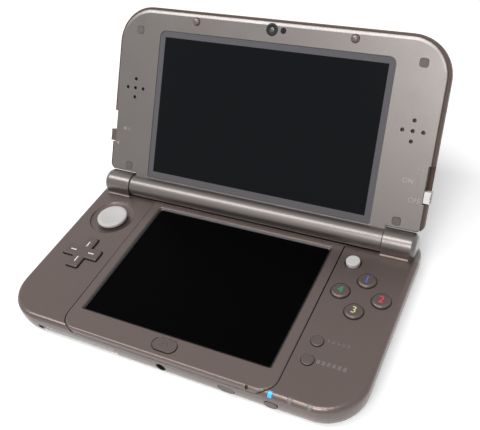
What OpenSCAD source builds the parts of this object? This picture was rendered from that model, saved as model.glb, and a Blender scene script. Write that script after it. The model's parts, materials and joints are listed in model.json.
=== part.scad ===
// Clamshell handheld game console. The base carries the touch screen and the
// controls, and the lid carries the upper screen on a friction hinge.
// X runs to the right, Y towards the hinge and Z up. The origin is the middle
// of the base's footprint, on the surface that the console stands on.

/* [Body] */
// Width of the base
body_w = 158.4; // [154.4:1:168.4]
// Depth of the base, front to rear
base_d = 93.5; // [93:0.5:100]
// Height of the base's top above the table
base_h = 12.2; // [12:0.1:13.6]
// Radius of the base's front corners, seen from above
corner_front = 17.5; // [14:0.5:20]
// Radius of the base's rear corners, seen from above
corner_rear = 10; // [9:0.5:11]
// Radius of the rounding round the base's top edge
edge_round = 2; // [1.8:0.1:2.8]
// How far the side walls draw in towards the bottom
draft_in = 2.9; // [2.4:0.1:3.6]
// Thickness of the housings' side walls
wall = 1.8; // [1.4:0.1:2]
// Thickness of the base's top plate
top_plate = 1.8; // [1.6:0.1:1.9]
// Gap between two moulded housings along a seam
seam = 0.05; // [0.04:0.01:0.1]

/* [Feet and back cover] */
// Height of the rubber feet below the back cover
foot_h = 0.6; // [0.4:0.1:0.8]
// Radius of a rubber foot
foot_r = 4; // [3:0.5:5]
// Distance of the feet from the sides of the base
foot_inset_x = 18; // [15:1:24]
// Distance of the feet from the front and the rear of the base
foot_inset_y = 13; // [11:1:16]
// Thickness of the back cover's floor
cover_t = 1.1; // [0.9:0.1:1.2]

/* [Centre panel and touch screen] */
// Width of the raised panel round the touch screen
panel_w = 95.5; // [93:0.5:96]
// Radius of the panel's front corners
panel_corner = 7; // [5:0.5:9]
// How far the panel stands above the base's top
panel_rise = 0.4; // [0.2:0.1:0.5]
// Width of the groove round the panel
panel_groove = 0.2; // [0.1:0.05:0.3]
// Width of the window over the touch screen
window_w = 84.4; // [84:0.4:88]
// Depth of the window over the touch screen
window_d = 64; // [64:0.4:66.8]
// How far the touch screen lies below the panel's top
touch_recess = 1; // [0.8:0.1:1.1]
// How far the glass of the touch screen reaches under the panel
glass_lap = 1.2; // [0.8:0.1:1.3]

/* [Hinge] */
// Distance from the hinge axis to the rear of the base
hinge_inset = 8; // [7.8:0.1:8.6]
// Height of the hinge axis above the base's top
hinge_rise = 2.4; // [2.2:0.1:2.8]
// Radius of the hinge barrel
barrel_r = 5.3; // [5.1:0.1:5.5]
// Gap between the barrel and the trough in the base
barrel_gap = 0.35; // [0.25:0.05:0.45]
// Radius of the hinge knuckles on the base
knuckle_r = 6; // [5.8:0.05:6.1]
// Length of each hinge knuckle on the base
knuckle_len = 14.4; // [13:0.1:15]
// Radius of the two hinge pins
pin_r = 2.6; // [2.2:0.1:3]
// Running gap between a hinge pin and its bore
pin_gap = 0.05; // [0.02:0.01:0.08]
// Angle between the lid and the closed position, at rest
open_angle = 122; // [100:1:150]

/* [Lid] */
// Thickness of the lid
lid_t = 7.6; // [7.2:0.1:8.4]
// Height of the lid's inner face above the hinge axis, when it lies flat
lid_gap = 0.75; // [0.6:0.05:0.9]
// Distance from the hinge axis to the lid's far edge
lid_len = 85.2; // [84.6:0.2:85.4]
// Radius of the lid's far corners
lid_corner = 17; // [14:0.5:20]
// Thickness of the lid's inner frame
frame_t = 3.3; // [3:0.1:3.6]

/* [Upper screen] */
// Width of the upper screen's lens
lens_w = 111.6; // [108:0.4:113]
// Height of the upper screen's lens
lens_h = 69.5; // [66:0.5:69.5]
// Thickness of the lens
lens_t = 1.2; // [1:0.1:1.3]
// How far the lens lies below the lid's inner face
lens_recess = 0.3; // [0.2:0.05:0.4]

/* [Circle pad] */
// Distance from the circle pad's centre to the left side
pad_inset = 16.5; // [16:0.1:17.4]
// Radius of the circle pad's cap
pad_r = 7.2; // [7:0.05:8.2]
// Radius of the dish that the cap slides in
dish_r = 10.9; // [10.8:0.1:11.6]
// Travel of the circle pad, each way
pad_travel = 2; // [1.5:0.1:2.1]

/* [Direction pad] */
// Length of the direction pad from tip to tip
dpad_len = 18.4; // [18:0.2:20.4]
// Width of the direction pad's arms
dpad_arm = 6; // [5.8:0.1:7]

/* [Buttons] */
// Distance from the middle of the face buttons to the right side
face_inset = 16.4; // [16.2:0.1:18]
// Distance from the middle of the face buttons to each button
face_pitch = 8.4; // [8:0.1:8.6]
// Radius of a face button
face_r = 3.9; // [3.8:0.1:4.3]
// Travel of a face button
face_travel = 0.9; // [0.6:0.1:1]
// How far the face buttons stand above the base's top
face_proud = 1.15; // [0.9:0.05:1.3]
// Radius of the two small round buttons
small_r = 2.5; // [2.2:0.1:2.8]
// Travel of the small round buttons and of the home button
small_travel = 0.5; // [0.3:0.1:0.6]
// Width of the home button
home_w = 10.4; // [10.4:0.2:12.4]
// Depth of the home button
home_d = 5.8; // [5.8:0.1:6.6]
// Radius of the small stick's cap
stick_r = 3; // [2.5:0.05:3.1]
// Height of the shoulder buttons
shoulder_h = 5.2; // [4.6:0.1:5.4]
// Length of the inner shoulder buttons
inner_shoulder_w = 9; // [8:0.2:9.6]

/* [Front and rear openings] */
// Width of the game card slot
slot_w = 34.2; // [33.4:0.2:35]
// Height of the game card slot
slot_h = 4.15; // [4.1:0.05:4.2]
// Depth of the game card slot
slot_depth = 30; // [28:0.5:32]
// Radius of the headphone socket
jack_r = 1.8; // [1.75:0.01:1.85]
// Depth of the headphone socket
jack_depth = 14; // [13:0.5:15]
// Radius of the stylus
stylus_r = 2.05; // [1.8:0.05:2.1]
// Length of the stylus
stylus_len = 84; // [76:1:86]
// Width of the charging socket
charge_w = 10.2; // [9.6:0.1:11]
// Height of the charging socket
charge_h = 4.2; // [4.15:0.05:4.3]

/* [Lid details] */
// Length of the notch for the depth slider
depth_notch = 15.8; // [14:0.2:17]
// Length of the depth slider's knob
depth_knob = 4.9; // [4.4:0.1:5.6]
// Length of the notch for the volume slider
volume_notch = 15.4; // [14:0.2:17]
// Length of the volume slider's knob
volume_knob = 5.5; // [4.8:0.1:6.2]
// Distance between the holes of a speaker grille
grille_pitch = 4.3; // [3.8:0.1:4.6]
// Radius of a speaker hole
grille_r = 0.8; // [0.6:0.05:1]
// Radius of the inner camera
camera_r = 2.7; // [2.4:0.1:2.9]
// Height of the rubber bumpers on the lid
bumper_h = 1.1; // [0.9:0.05:1.1]

/* [Hidden] */
$fn = 64;
eps = 0.02;
slack = 0.1;           // ordinary clearance between two pieces
fit_gap = 0.05;        // close clearance, for a shaft in its hole

// The base grows where the window or the lens needs the room, and the panel,
// its window and the lens give way where the body is too narrow for them
depth = max(base_d, window_d + 28.4, lens_h + 23.5);
panel_width = min(panel_w, body_w - 62);
window_width = min(window_w, panel_width - 5);

// Heights in the base
cover_floor = foot_h + cover_t;
seam_low = foot_h + 2;
floor_t = 0.75;
floor_top = seam_low + seam + floor_t;
seam_mid = base_h - 4.2;
seam_top = base_h - 2.5;   // the seam that shows, above the lap joint
lap_t = 0.95;
board_t = 0.8;
board_z = seam_mid;
board_top = board_z + board_t;
top_under = base_h - top_plate;
panel_top = base_h + panel_rise;
panel_under = base_h - 1.6;
touch_top = panel_top - touch_recess;
touch_t = 1.1;
io_z = (floor_top + seam_mid) / 2;

// Places seen from above
hinge_y = depth / 2 - hinge_inset;
hinge_z = base_h + hinge_rise;
barrel_half = body_w / 2 - 1.9 - knuckle_len;
trough_r = barrel_r + barrel_gap;
hinge_pin_end = barrel_half + 10.5;
front_y = -depth / 2;
rear_y = depth / 2;
panel_front = front_y + 0.1;
panel_skirt = 0.95;
panel_rear = hinge_y - trough_r - 0.3;
window_rear = hinge_y - 9.8;
bevel_w = 1.35;
window_front = window_rear - window_d;
window_y = (window_rear + window_front) / 2;
glass_w = window_width + 2 * glass_lap;
glass_d = window_d + 2 * glass_lap;
opening_w = glass_w + 1;
opening_d = glass_d + 0.8;
pad_pos = [-(body_w / 2 - pad_inset), hinge_y - 21.8];
dpad_pos = [pad_pos[0] + 0.2, pad_pos[1] - 25];
face_pos = [body_w / 2 - face_inset, hinge_y - 30.8];
stick_pos = [face_pos[0] - 8.6, face_pos[1] + 16.5];
start_pos = [face_pos[0] - 8.2, front_y + 28.2];
select_pos = [start_pos[0] - 0.4, start_pos[1] - 9.2];
home_pos = [0, window_front - 5.7];
slot_x = 39.7 - body_w / 2;
stylus_x = body_w / 2 - 50.5;
power_x = body_w / 2 - 32.3;
charge_x = -12;
ir_x = 14;
battery_end = 10;
battery_box = [body_w / 2 - 31.2 + battery_end, 40];
battery_pos = [battery_end - battery_box[0] / 2, 8];
sd_pos = [body_w / 2 - 24, -22];
boss_r = 2.7;
screw_r = 0.9;
bosses = [
    [-body_w / 2 + 9, front_y + 20], [body_w / 2 - 8, front_y + 20],
    [-body_w / 2 + 9.5, hinge_y - 5.5], [body_w / 2 - 9.5, hinge_y - 5.5]
];
cover_screw_pos = [[40 - body_w / 2, rear_y - 14],
                   [body_w / 2 - 30, rear_y - 14]];
led_x = [body_w / 2 - 32.4, body_w / 2 - 24.7, body_w / 2 - 17.2];
led_w = 1.5;
mic_x = panel_width / 2 - 9.9;

// Openings at the front and controls on it
slot_mouth_z1 = seam_mid - seam - 0.25;
slot_mouth_z0 = slot_mouth_z1 - slot_h - 0.2;
slot_z = (slot_mouth_z0 + slot_mouth_z1) / 2;
jack_w = 6.6;
jack_h = 4.4;
jack_ring_r = jack_r + 0.4;
stylus_head_w = 6.6;
stylus_head_h = 4.1;
power_w = 5.2;
power_h = 3.4;
strap_w = 2.6;
strap_h = 2.4;
strap_x = slot_x - slot_w / 2 - strap_w / 2 - 1.3;

// Circle pad
stem_r = 2.3;
gate_r = stem_r + pad_travel * sqrt(2) + 0.12;
dish_floor = base_h - 1.2;

// Direction pad
dpad_proud = 1;
dpad_tilt_room = 0.3;
dpad_flange_r = dpad_len / 2 - 2.2;
dpad_flange_t = 0.4;
dpad_flange_top = top_under - 0.62;

// Shoulder buttons, modelled on the left and mirrored
shoulder_z0 = io_z - 1.5;
shoulder_z1 = shoulder_z0 + shoulder_h;
outer_end = body_w / 2 - 21.4;
outer_pivot = [-(body_w / 2 - corner_rear + 4.2), rear_y - 4.35];
inner_start = outer_end - 2;
inner_pivot = [-(inner_start - 1.3), rear_y - 2.15];
pivot_shaft = 0.7;

// Lid, in its own frame: X, S away from the hinge, N out of the inner face
inner_n = lid_gap;
outer_n = lid_gap - lid_t;
split_n = inner_n - frame_t;
lid_w = body_w - 2.4;
frame_inset = 1.1;
rim_n = inner_n - 0.8;
wing_s = knuckle_r + 0.35;
lens_s = 5.7;
tip_s = max(lid_len, lens_s + lens_h + 9.5);
lens_width = min(lens_w, lid_w - 42);
slope_a = [3.6, -3.9];
slope_b = [10, outer_n];
plate_n = inner_n - 1.65;
lens_top_n = inner_n - lens_recess;
lcd_t = 1.6;
edge_wall = wall + 2.1;
trim_s = tip_s - 4.5;
cover_x = lid_w / 2 - 11.2;
cover_s = [wing_s + 2.95, tip_s - 10.9];
bumper_x = 37.4;
grille_pos = [lid_w / 2 - 11, wing_s + 40.75];
notch_depth = 2.1;
notch_n = -4.6;
depth_s = wing_s + 11.95;
volume_s = wing_s + 13.25;
outer_camera_x = 17.5;
bumper_r = 1.8;
ir_led_x = 5.3;
tongue_n = (split_n + plate_n) / 2;
cover_size = 3.4;
speaker_w = 13;
speaker_len = 20;
speaker_corner = 3;
sheet_margin = 3.4;

dark_metal = [0.39, 0.36, 0.35];
warm_metal = [0.56, 0.54, 0.52];
dark_plastic = [0.12, 0.12, 0.13];
board_green = [0.1, 0.3, 0.18];
steel = [0.7, 0.7, 0.72];
light_grey = [0.72, 0.71, 0.7];

// ---------------------------------------------------------------- outlines

// Points of a rectangle with round corners
function rounded_points(w, d, r, steps = 6) = [
    for (q = [[1, 1, 0], [-1, 1, 90], [-1, -1, 180], [1, -1, 270]])
        for (i = [0 : steps])
            [q[0] * (w / 2 - r) + r * cos(q[2] + 90 * i / steps),
             q[1] * (d / 2 - r) + r * sin(q[2] + 90 * i / steps)]
];

// Points of a quarter of an ellipse, as [height, inset], from wall to face
function edge_arc(z0, dz, inset, steps = 6) = [
    for (i = [0 : steps]) [z0 + dz * sin(90 * i / steps),
                           inset * (1 - cos(90 * i / steps))]
];

function reversed(v) = [for (i = [len(v) - 1 : -1 : 0]) v[i]];

// The part of a rim, a list of [height, inset], that lies between two heights
function rim_between(rim, a, b) = concat(
    [[a, lookup(a, rim)]],
    [for (p = rim) if (p[0] > a + 0.001 && p[0] < b - 0.001) p],
    [[b, lookup(b, rim)]]
);

base_rim = concat(
    [for (p = reversed(edge_arc(0, seam_top - foot_h, draft_in, 6)))
        [seam_top - p[0], p[1]]],
    edge_arc(base_h - edge_round, edge_round, edge_round)
);
cover_rim = concat(
    reversed([for (p = edge_arc(0, 2.4, 2.6)) [outer_n + 2.4 - p[0], p[1]]]),
    edge_arc(rim_n - 0.3, 0.3, 0.3, 3)
);
frame_rim = concat([[split_n, 0]], edge_arc(inner_n - 0.5, 0.5, 0.5, 4));

// ---------------------------------------------------------------- helpers

module corner_post(r, rim) {
    rotate_extrude($fn = 48) polygon(concat(
        [[0, rim[0][0]]],
        [for (p = rim) [max(r - p[1], 0.05), p[0]]],
        [[0, rim[len(rim) - 1][0]]]
    ));
}

// A slab with round corners whose edge follows a rim
module shell_form(w, d, r_front, r_rear, rim) {
    hull() for (side = [-1, 1]) {
        translate([side * (w / 2 - r_front), -d / 2 + r_front])
            corner_post(r_front, rim);
        translate([side * (w / 2 - r_rear), d / 2 - r_rear])
            corner_post(r_rear, rim);
    }
}

module base_form(z0, z1, inset = 0) {
    shell_form(body_w - 2 * inset, depth - 2 * inset, corner_front - inset,
               corner_rear - inset, rim_between(base_rim, z0, z1));
}

// A straight-walled room inside the base
module base_room(z0, z1, inset) {
    shell_form(body_w - 2 * inset, depth - 2 * inset, corner_front - inset,
               corner_rear - inset, [[z0, 0], [z1, 0]]);
}

// A slab as large as the lid, drawn in at its sides and its far edge
module lid_form(rim, inset = 0) {
    translate([0, (wing_s + tip_s - inset) / 2, 0])
        shell_form(lid_w - 2 * inset, tip_s - wing_s - inset,
                   max(2.65 - inset, 0.6), lid_corner - inset, rim);
}

// Where the inner frame sits within the rim of the outer cover
module frame_seat() {
    grow = frame_inset - seam;
    translate([0, (wing_s + tip_s - grow) / 2 - 2, 0])
        shell_form(lid_w - 2 * grow, tip_s - wing_s + 4 - grow, 1,
                   lid_corner - grow, [[split_n - seam, 0], [inner_n + 1, 0]]);
}

// A block between two corners
module block(a, b) {
    translate(a) cube(b - a);
}

module rounded_block(w, d, r, z0, z1) {
    translate([0, 0, z0]) linear_extrude(z1 - z0)
        polygon(rounded_points(w, d, r));
}

// A rod or hole along Z between two heights
module rod(r, z0, z1) {
    translate([0, 0, z0]) cylinder(r = r, h = z1 - z0);
}

// A rod or hole along X, round the hinge axis when at the origin
module rod_x(r, x0, x1) {
    translate([x0, 0, 0]) rotate([0, 90, 0]) cylinder(r = r, h = x1 - x0);
}

// A rod or hole along Y
module rod_y(r, y0, y1) {
    translate([0, y1, 0]) rotate([90, 0, 0]) cylinder(r = r, h = y1 - y0);
}

// A profile in Y and Z, stretched along X
module profile_x(x0, x1, points) {
    translate([x0, 0, 0]) rotate([90, 0, 90])
        linear_extrude(x1 - x0) polygon(points);
}

// A profile in X and Z, stretched along Y
module profile_y(y0, y1, points) {
    translate([0, y1, 0]) rotate([90, 0, 0])
        linear_extrude(y1 - y0) polygon(points);
}

module at_hinge() {
    translate([0, hinge_y, hinge_z]) children();
}

module in_lid() {
    at_hinge() rotate([180 - open_angle, 0, 0]) children();
}

// A round cap with a soft top edge and a flange that keeps it in the housing
module cap(r, top, flange_r, flange_z, soft = 0.5, dish = 0) {
    rotate_extrude() polygon(concat(
        [[0, flange_z], [flange_r, flange_z], [flange_r, flange_z + 0.6],
         [r, flange_z + 0.6]],
        [for (i = [0 : 4]) [r - soft * (1 - cos(22.5 * i)),
                            top - soft + soft * sin(22.5 * i)]],
        dish > 0 ? [for (i = [4 : -1 : 0]) [(r - soft) * i / 5,
                            top - dish * cos(18 * i)]] : [[0, top]]
    ));
}

// ---------------------------------------------------------------- base, low

module back_cover() {
    color(dark_metal) difference() {
        base_form(foot_h, seam_low);
        base_room(cover_floor, seam_low + 1, wall + 2.4);
        for (x = [-1, 1], y = [-1, 1])
            translate([x * (body_w / 2 - foot_inset_x),
                       y * (depth / 2 - foot_inset_y)])
                rod(foot_r + slack, foot_h - 1, foot_h + 0.5);
        for (p = cover_screw_pos) translate(p) {
            rod(2.4, foot_h - 1, foot_h + 0.65);
            rod(1.25, foot_h - 1, seam_low);
        }
    }
}

module feet() {
    color(dark_plastic) for (x = [-1, 1], y = [-1, 1])
        translate([x * (body_w / 2 - foot_inset_x),
                   y * (depth / 2 - foot_inset_y)])
            rotate_extrude() polygon([
                [0, 0], [foot_r - 0.3, 0], [foot_r, 0.3],
                [foot_r, foot_h + 0.5], [0, foot_h + 0.5]
            ]);
}

// A pan-head screw with its head down, under the point given
module screw_up(head_z, tip_z, head_r, shaft_r) {
    difference() {
        union() {
            rod(head_r, head_z, head_z + 0.6);
            rod(shaft_r, head_z + 0.5, tip_z);
        }
        for (a = [0, 90]) rotate(a)
            block([-head_r * 0.6, -0.15, head_z - 1],
                  [head_r * 0.6, 0.15, head_z + 0.3]);
    }
}

module cover_screws() {
    color(steel) for (p = cover_screw_pos) translate(p)
        screw_up(foot_h + 0.05, seam_low + 3, 2.2, 1.1);
}

// Outer walls and floor of the lower housing, with a lip that laps the upper
module lower_shell() {
    difference() {
        base_form(seam_low + seam, seam_top - seam);
        base_room(floor_top, seam_mid, wall + 0.8);
        base_room(seam_mid - seam, seam_top + 1, lap_t);
    }
}

// The stretches of wall round the front and the rear sockets
module port_stretches() {
    block([strap_x - strap_w / 2 - 1.5, front_y - 1, 0],
          [jack_ring_r + 2.4, front_y + wall + 1, base_h]);
    block([charge_x - charge_w / 2 - 2.2, rear_y - wall - 1, 0],
          [charge_x + charge_w / 2 + 2.2, rear_y + 1, base_h]);
}

// Mouths of the card slot, the headphone socket and the charging socket, and
// the room that the card slot takes in the floor
module port_mouths() {
    block([slot_x - slot_w / 2 - 0.5, front_y - 1, slot_mouth_z0],
          [slot_x + slot_w / 2 + 0.5, front_y + 4, slot_mouth_z1]);
    block([slot_x - slot_w / 2 - 1, front_y + 2.65, seam_low - 1],
          [slot_x + slot_w / 2 + 1, front_y + slot_depth + 4, seam_mid]);
    translate([0, 0, io_z]) rod_y(jack_ring_r + fit_gap, front_y - 1, front_y + 4);
    translate([strap_x, 0, io_z]) profile_y(front_y - 1, front_y + 1.9,
        rounded_points(strap_w, strap_h, 0.9));
    block([charge_x - charge_w / 2 - 0.7, rear_y - 9.1,
           io_z - charge_h / 2 - 0.45],
          [charge_x + charge_w / 2 + 0.7, rear_y + 1, seam_mid]);
}

module port_walls() {
    color(dark_metal) difference() {
        intersection() {
            lower_shell();
            port_stretches();
        }
        port_mouths();
        // a fine cut parts the card slot's stretch from the headphone socket's
        block([-jack_ring_r - 1.8 - seam, front_y - 1, 0],
              [-jack_ring_r - 1.8, front_y + wall + 2, base_h]);
    }
}

module lower_housing() {
    color(dark_metal) difference() {
        union() {
            difference() {
                lower_shell();
                port_stretches();
                // room for the battery in the floor
                translate(battery_pos) rounded_block(battery_box[0] + 1,
                    battery_box[1] + 1, 1.5, seam_low - 1, seam_mid);
            }
            for (p = bosses) translate(p)
                rod(boss_r, seam_low + seam, seam_mid - seam);
            for (p = cover_screw_pos) translate(p)
                rod(2.2, seam_low + seam, seam_low + 3.6);
            // guide ribs along the stylus
            for (side = [-1, 1])
                translate([stylus_x + side * (stylus_r + 0.65), 0])
                    block([-0.35, front_y + 2, floor_top - 0.2],
                          [0.35, front_y + stylus_len + 2, io_z + 1]);
            // inner walls of the shoulder button pockets
            for (side = [-1, 1]) scale([side, 1, 1])
                block([outer_end - 1.5, rear_y - wall - 3, floor_top - 0.2],
                      [outer_end - 0.25, rear_y - wall, seam_mid - seam]);
        }
        for (p = bosses) translate(p) {
            rod(screw_r + 0.15, seam_low - 1, seam_mid + 1);
            rod(2.05, seam_low - 1, seam_low + 1);
        }
        for (p = cover_screw_pos) translate(p)
            rod(1.15, seam_low - 1, seam_low + 3.3);
        // mouths in the walls
        port_mouths();
        translate([stylus_x, 0, io_z]) {
            rod_y(stylus_r + fit_gap, front_y - 1, front_y + 6);
            profile_y(front_y - 1, front_y + 2.9,
                rounded_points(stylus_head_w + 0.4, stylus_head_h + 0.4,
                               stylus_head_h / 2));
        }
        translate([power_x, 0, io_z]) profile_y(front_y - 1, front_y + 5,
            rounded_points(power_w + 0.3, power_h + 0.3, power_h / 2));
        translate([ir_x, 0, io_z]) profile_y(rear_y - 5, rear_y + 1,
            rounded_points(10.2, 3, 1.4));
        for (side = [-1, 1]) scale([side, 1, 1]) shoulder_pocket(seam_top + 1);
    }
}

// The rooms that a pair of shoulder buttons swing in, on the right side
module shoulder_pocket(top) {
    block([outer_end + 0.05, rear_y - 4.55, shoulder_z0 - 0.2],
          [body_w, rear_y + 1, top]);
    block([outer_end + 7, rear_y - 6.2, shoulder_z0 - 0.2],
          [body_w / 2 - wall - 2.1, rear_y - 4, top]);
    block([inner_start - inner_shoulder_w - 0.35, rear_y - 4.15,
           shoulder_z0 - 0.2],
          [inner_start + 0.25, rear_y + 1, top]);
    for (p = [outer_pivot, inner_pivot]) translate([-p[0], p[1]])
        rod(pivot_shaft + fit_gap, seam_low - 1, base_h - 0.9);
}

module case_screws() {
    color(steel) for (p = bosses) translate(p)
        screw_up(seam_low + 0.35, top_under + 0.4, 1.9, screw_r);
}

module battery() {
    color([0.2, 0.22, 0.25]) translate(battery_pos)
        rounded_block(battery_box[0], battery_box[1], 1, cover_floor + 0.1,
                      board_z - 0.3);
}

module mainboard() {
    color(board_green) difference() {
        block([-body_w / 2 + 5, front_y + 9, board_z],
              [body_w / 2 - 5, panel_rear - 2, board_top]);
        for (p = bosses) translate(p) rod(boss_r + 0.4, board_z - 1,
                                          board_top + 1);
        for (side = [-1, 1]) translate([side * body_w / 2, front_y])
            rod(corner_front + 3, board_z - 1, board_top + 1);
    }
}

module wifi_module() {
    color(steel) translate([-body_w / 2 + 19, 0])
        block([-7, -6, board_z - 2.2], [7, 6, board_z]);
}

module memory_card_slot() {
    color(steel) difference() {
        translate(sd_pos) block([-7.5, -7, floor_top], [7.5, 7, floor_top + 1.8]);
        translate(sd_pos) block([-5.7, -8, floor_top + 0.4],
                                [5.7, 5.5, floor_top + 1.3]);
    }
}

// A sheet-metal box that is open at the front
module card_slot() {
    color(steel) difference() {
        block([slot_x - slot_w / 2 - 0.4, front_y + 2.7,
               slot_z - slot_h / 2 - 0.35],
              [slot_x + slot_w / 2 + 0.4, front_y + slot_depth + 1,
               slot_z + slot_h / 2 + 0.3]);
        block([slot_x - slot_w / 2, front_y, slot_z - slot_h / 2],
              [slot_x + slot_w / 2, front_y + slot_depth, slot_z + slot_h / 2]);
    }
}

module headphone_jack() {
    color(dark_plastic) translate([0, 0, io_z]) difference() {
        union() {
            profile_y(front_y + wall + 0.85, front_y + jack_depth + 1.6,
                      rounded_points(jack_w, jack_h, 0.8));
            rod_y(jack_ring_r, front_y + 0.45, front_y + wall + 1.5);
        }
        rod_y(jack_r, front_y - 1, front_y + jack_depth + 0.9);
    }
}

// A socket with a contact tongue at its back
module charging_port() {
    color(dark_plastic) translate([charge_x, 0, io_z]) {
        difference() {
            block([-charge_w / 2 - 0.6, rear_y - 9, -charge_h / 2 - 0.35],
                  [charge_w / 2 + 0.6, rear_y - 0.6, charge_h / 2 + 0.1]);
            block([-charge_w / 2, rear_y - 8, -charge_h / 2],
                  [charge_w / 2, rear_y + 1, charge_h / 2 + 1]);
        }
        block([-charge_w / 2 + 1.2, rear_y - 8.5, -0.4],
              [charge_w / 2 - 1.2, rear_y - 7, 0.4]);
    }
}

module ir_window() {
    color([0.1, 0.03, 0.04]) translate([ir_x, 0, io_z])
        profile_y(rear_y - 3.4, rear_y - 0.25, rounded_points(10, 2.8, 1.3));
}

// ---------------------------------------------------------------- base, top

module lower_lcd() {
    color([0.08, 0.08, 0.1]) translate([0, window_y])
        rounded_block(glass_w - 0.8, glass_d - 0.8, 0.5, board_top + 0.4,
                      touch_top - touch_t - 0.05);
}

module lcd_tray() {
    color(steel) translate([0, window_y]) difference() {
        rounded_block(glass_w, glass_d, 0.8, board_top + 0.05,
                      touch_top - touch_t - 0.1);
        rounded_block(glass_w - 0.6, glass_d - 0.6, 0.6, board_top + 0.35,
                      touch_top);
    }
}

module touch_panel() {
    color("black") translate([0, window_y])
        rounded_block(glass_w, glass_d, 0.8, touch_top - touch_t, touch_top);
}

module home_outline(grow) {
    polygon(rounded_points(home_w + 2 * grow, home_d + 2 * grow,
                           home_d / 2 + grow - 0.02));
}

// The raised panel round the touch screen
module screen_surround() {
    panel_d = panel_rear - panel_front;
    color(warm_metal) difference() {
        union() {
        hull() {
            translate([0, (panel_rear + panel_front) / 2]) {
                rounded_block(panel_width, panel_d, panel_corner, panel_under,
                              panel_top - 0.9);
                for (a = [30, 60, 90])
                    rounded_block(panel_width - 1.8 * (1 - cos(a)),
                                  panel_d - 1.8 * (1 - cos(a)),
                                  panel_corner - 0.9 * (1 - cos(a)), panel_under,
                                  panel_top - 0.9 * (1 - sin(a)));
            }
            // square rear corners, under the barrel
            for (side = [-1, 1]) translate([side * (panel_width / 2 - 1.2),
                                            panel_rear - 1.2])
                rounded_block(2, 2, 0.4, panel_under, panel_top);
        }
        panel_lip(0, panel_front + panel_skirt, seam_top + seam);
        }
        // the window, with sides that slope down to the glass
        translate([0, window_y]) {
            rounded_block(window_width, window_d, 1, panel_under - 1,
                          panel_top + 1);
            hull() {
                rounded_block(window_width, window_d, 1, touch_top, touch_top + 0.05);
                rounded_block(window_width + 2 * bevel_w - 0.9,
                              window_d + 2 * bevel_w - 0.9, 1.4,
                              panel_top - 0.35, panel_top - 0.3);
            }
            hull() {
                rounded_block(window_width + 2 * bevel_w - 0.5,
                              window_d + 2 * bevel_w - 0.5, 1.5,
                              panel_top - 0.35, panel_top - 0.3);
                rounded_block(window_width + 2 * bevel_w, window_d + 2 * bevel_w,
                              1.7, panel_top, panel_top + 0.1);
            }
            rounded_block(glass_w + 0.3, glass_d + 0.3, 0.9, panel_under - 1,
                          touch_top + fit_gap);
        }
        translate(concat(home_pos, panel_under - 1)) linear_extrude(5)
            home_outline(0.15);
        translate(concat(home_pos, panel_top - 0.35)) linear_extrude(5)
            home_outline(0.5);
        translate([mic_x, panel_front])
            block([-0.55, -1, panel_top - 1.9], [0.55, 0.8, panel_top + 1]);
    }
}

// The part of the panel's outline that turns down over the front wall
module panel_lip(grow, to_y, from_z) {
    intersection() {
        translate([0, (panel_rear + panel_front) / 2])
            rounded_block(panel_width + 2 * grow,
                          panel_rear - panel_front + 2 * grow,
                          panel_corner + grow, from_z, panel_under + 0.3);
        block([-body_w, front_y - 1, from_z], [body_w, to_y, base_h]);
    }
}

// The upper half of a hinge knuckle's section: a fillet down to the top plate
function knuckle_skirt() = concat(
    [[hinge_y + knuckle_r, base_h - 1.2], [hinge_y + knuckle_r, hinge_z],
     [hinge_y - knuckle_r, hinge_z]],
    [for (a = [0 : 15 : 90]) [hinge_y - knuckle_r - 0.9 + 0.9 * cos(a),
                              base_h + 0.9 - 0.9 * sin(a)]],
    [[hinge_y - knuckle_r - 0.9, base_h - 1.2]]
);

module knuckle() {
    x0 = barrel_half + 0.12;
    x1 = barrel_half + knuckle_len;
    at_hinge() rotate([0, 90, 0]) rotate_extrude() polygon(concat(
        [[0, x0], [knuckle_r - 0.3, x0], [knuckle_r, x0 + 0.3]],
        [for (i = [0 : 6]) [knuckle_r - 2.4 * (1 - cos(15 * i)),
                            x1 - 2.4 + 2.4 * sin(15 * i)]],
        [[0, x1]]
    ));
    profile_x(x0, x1 - 2.2, knuckle_skirt());
}

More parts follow.
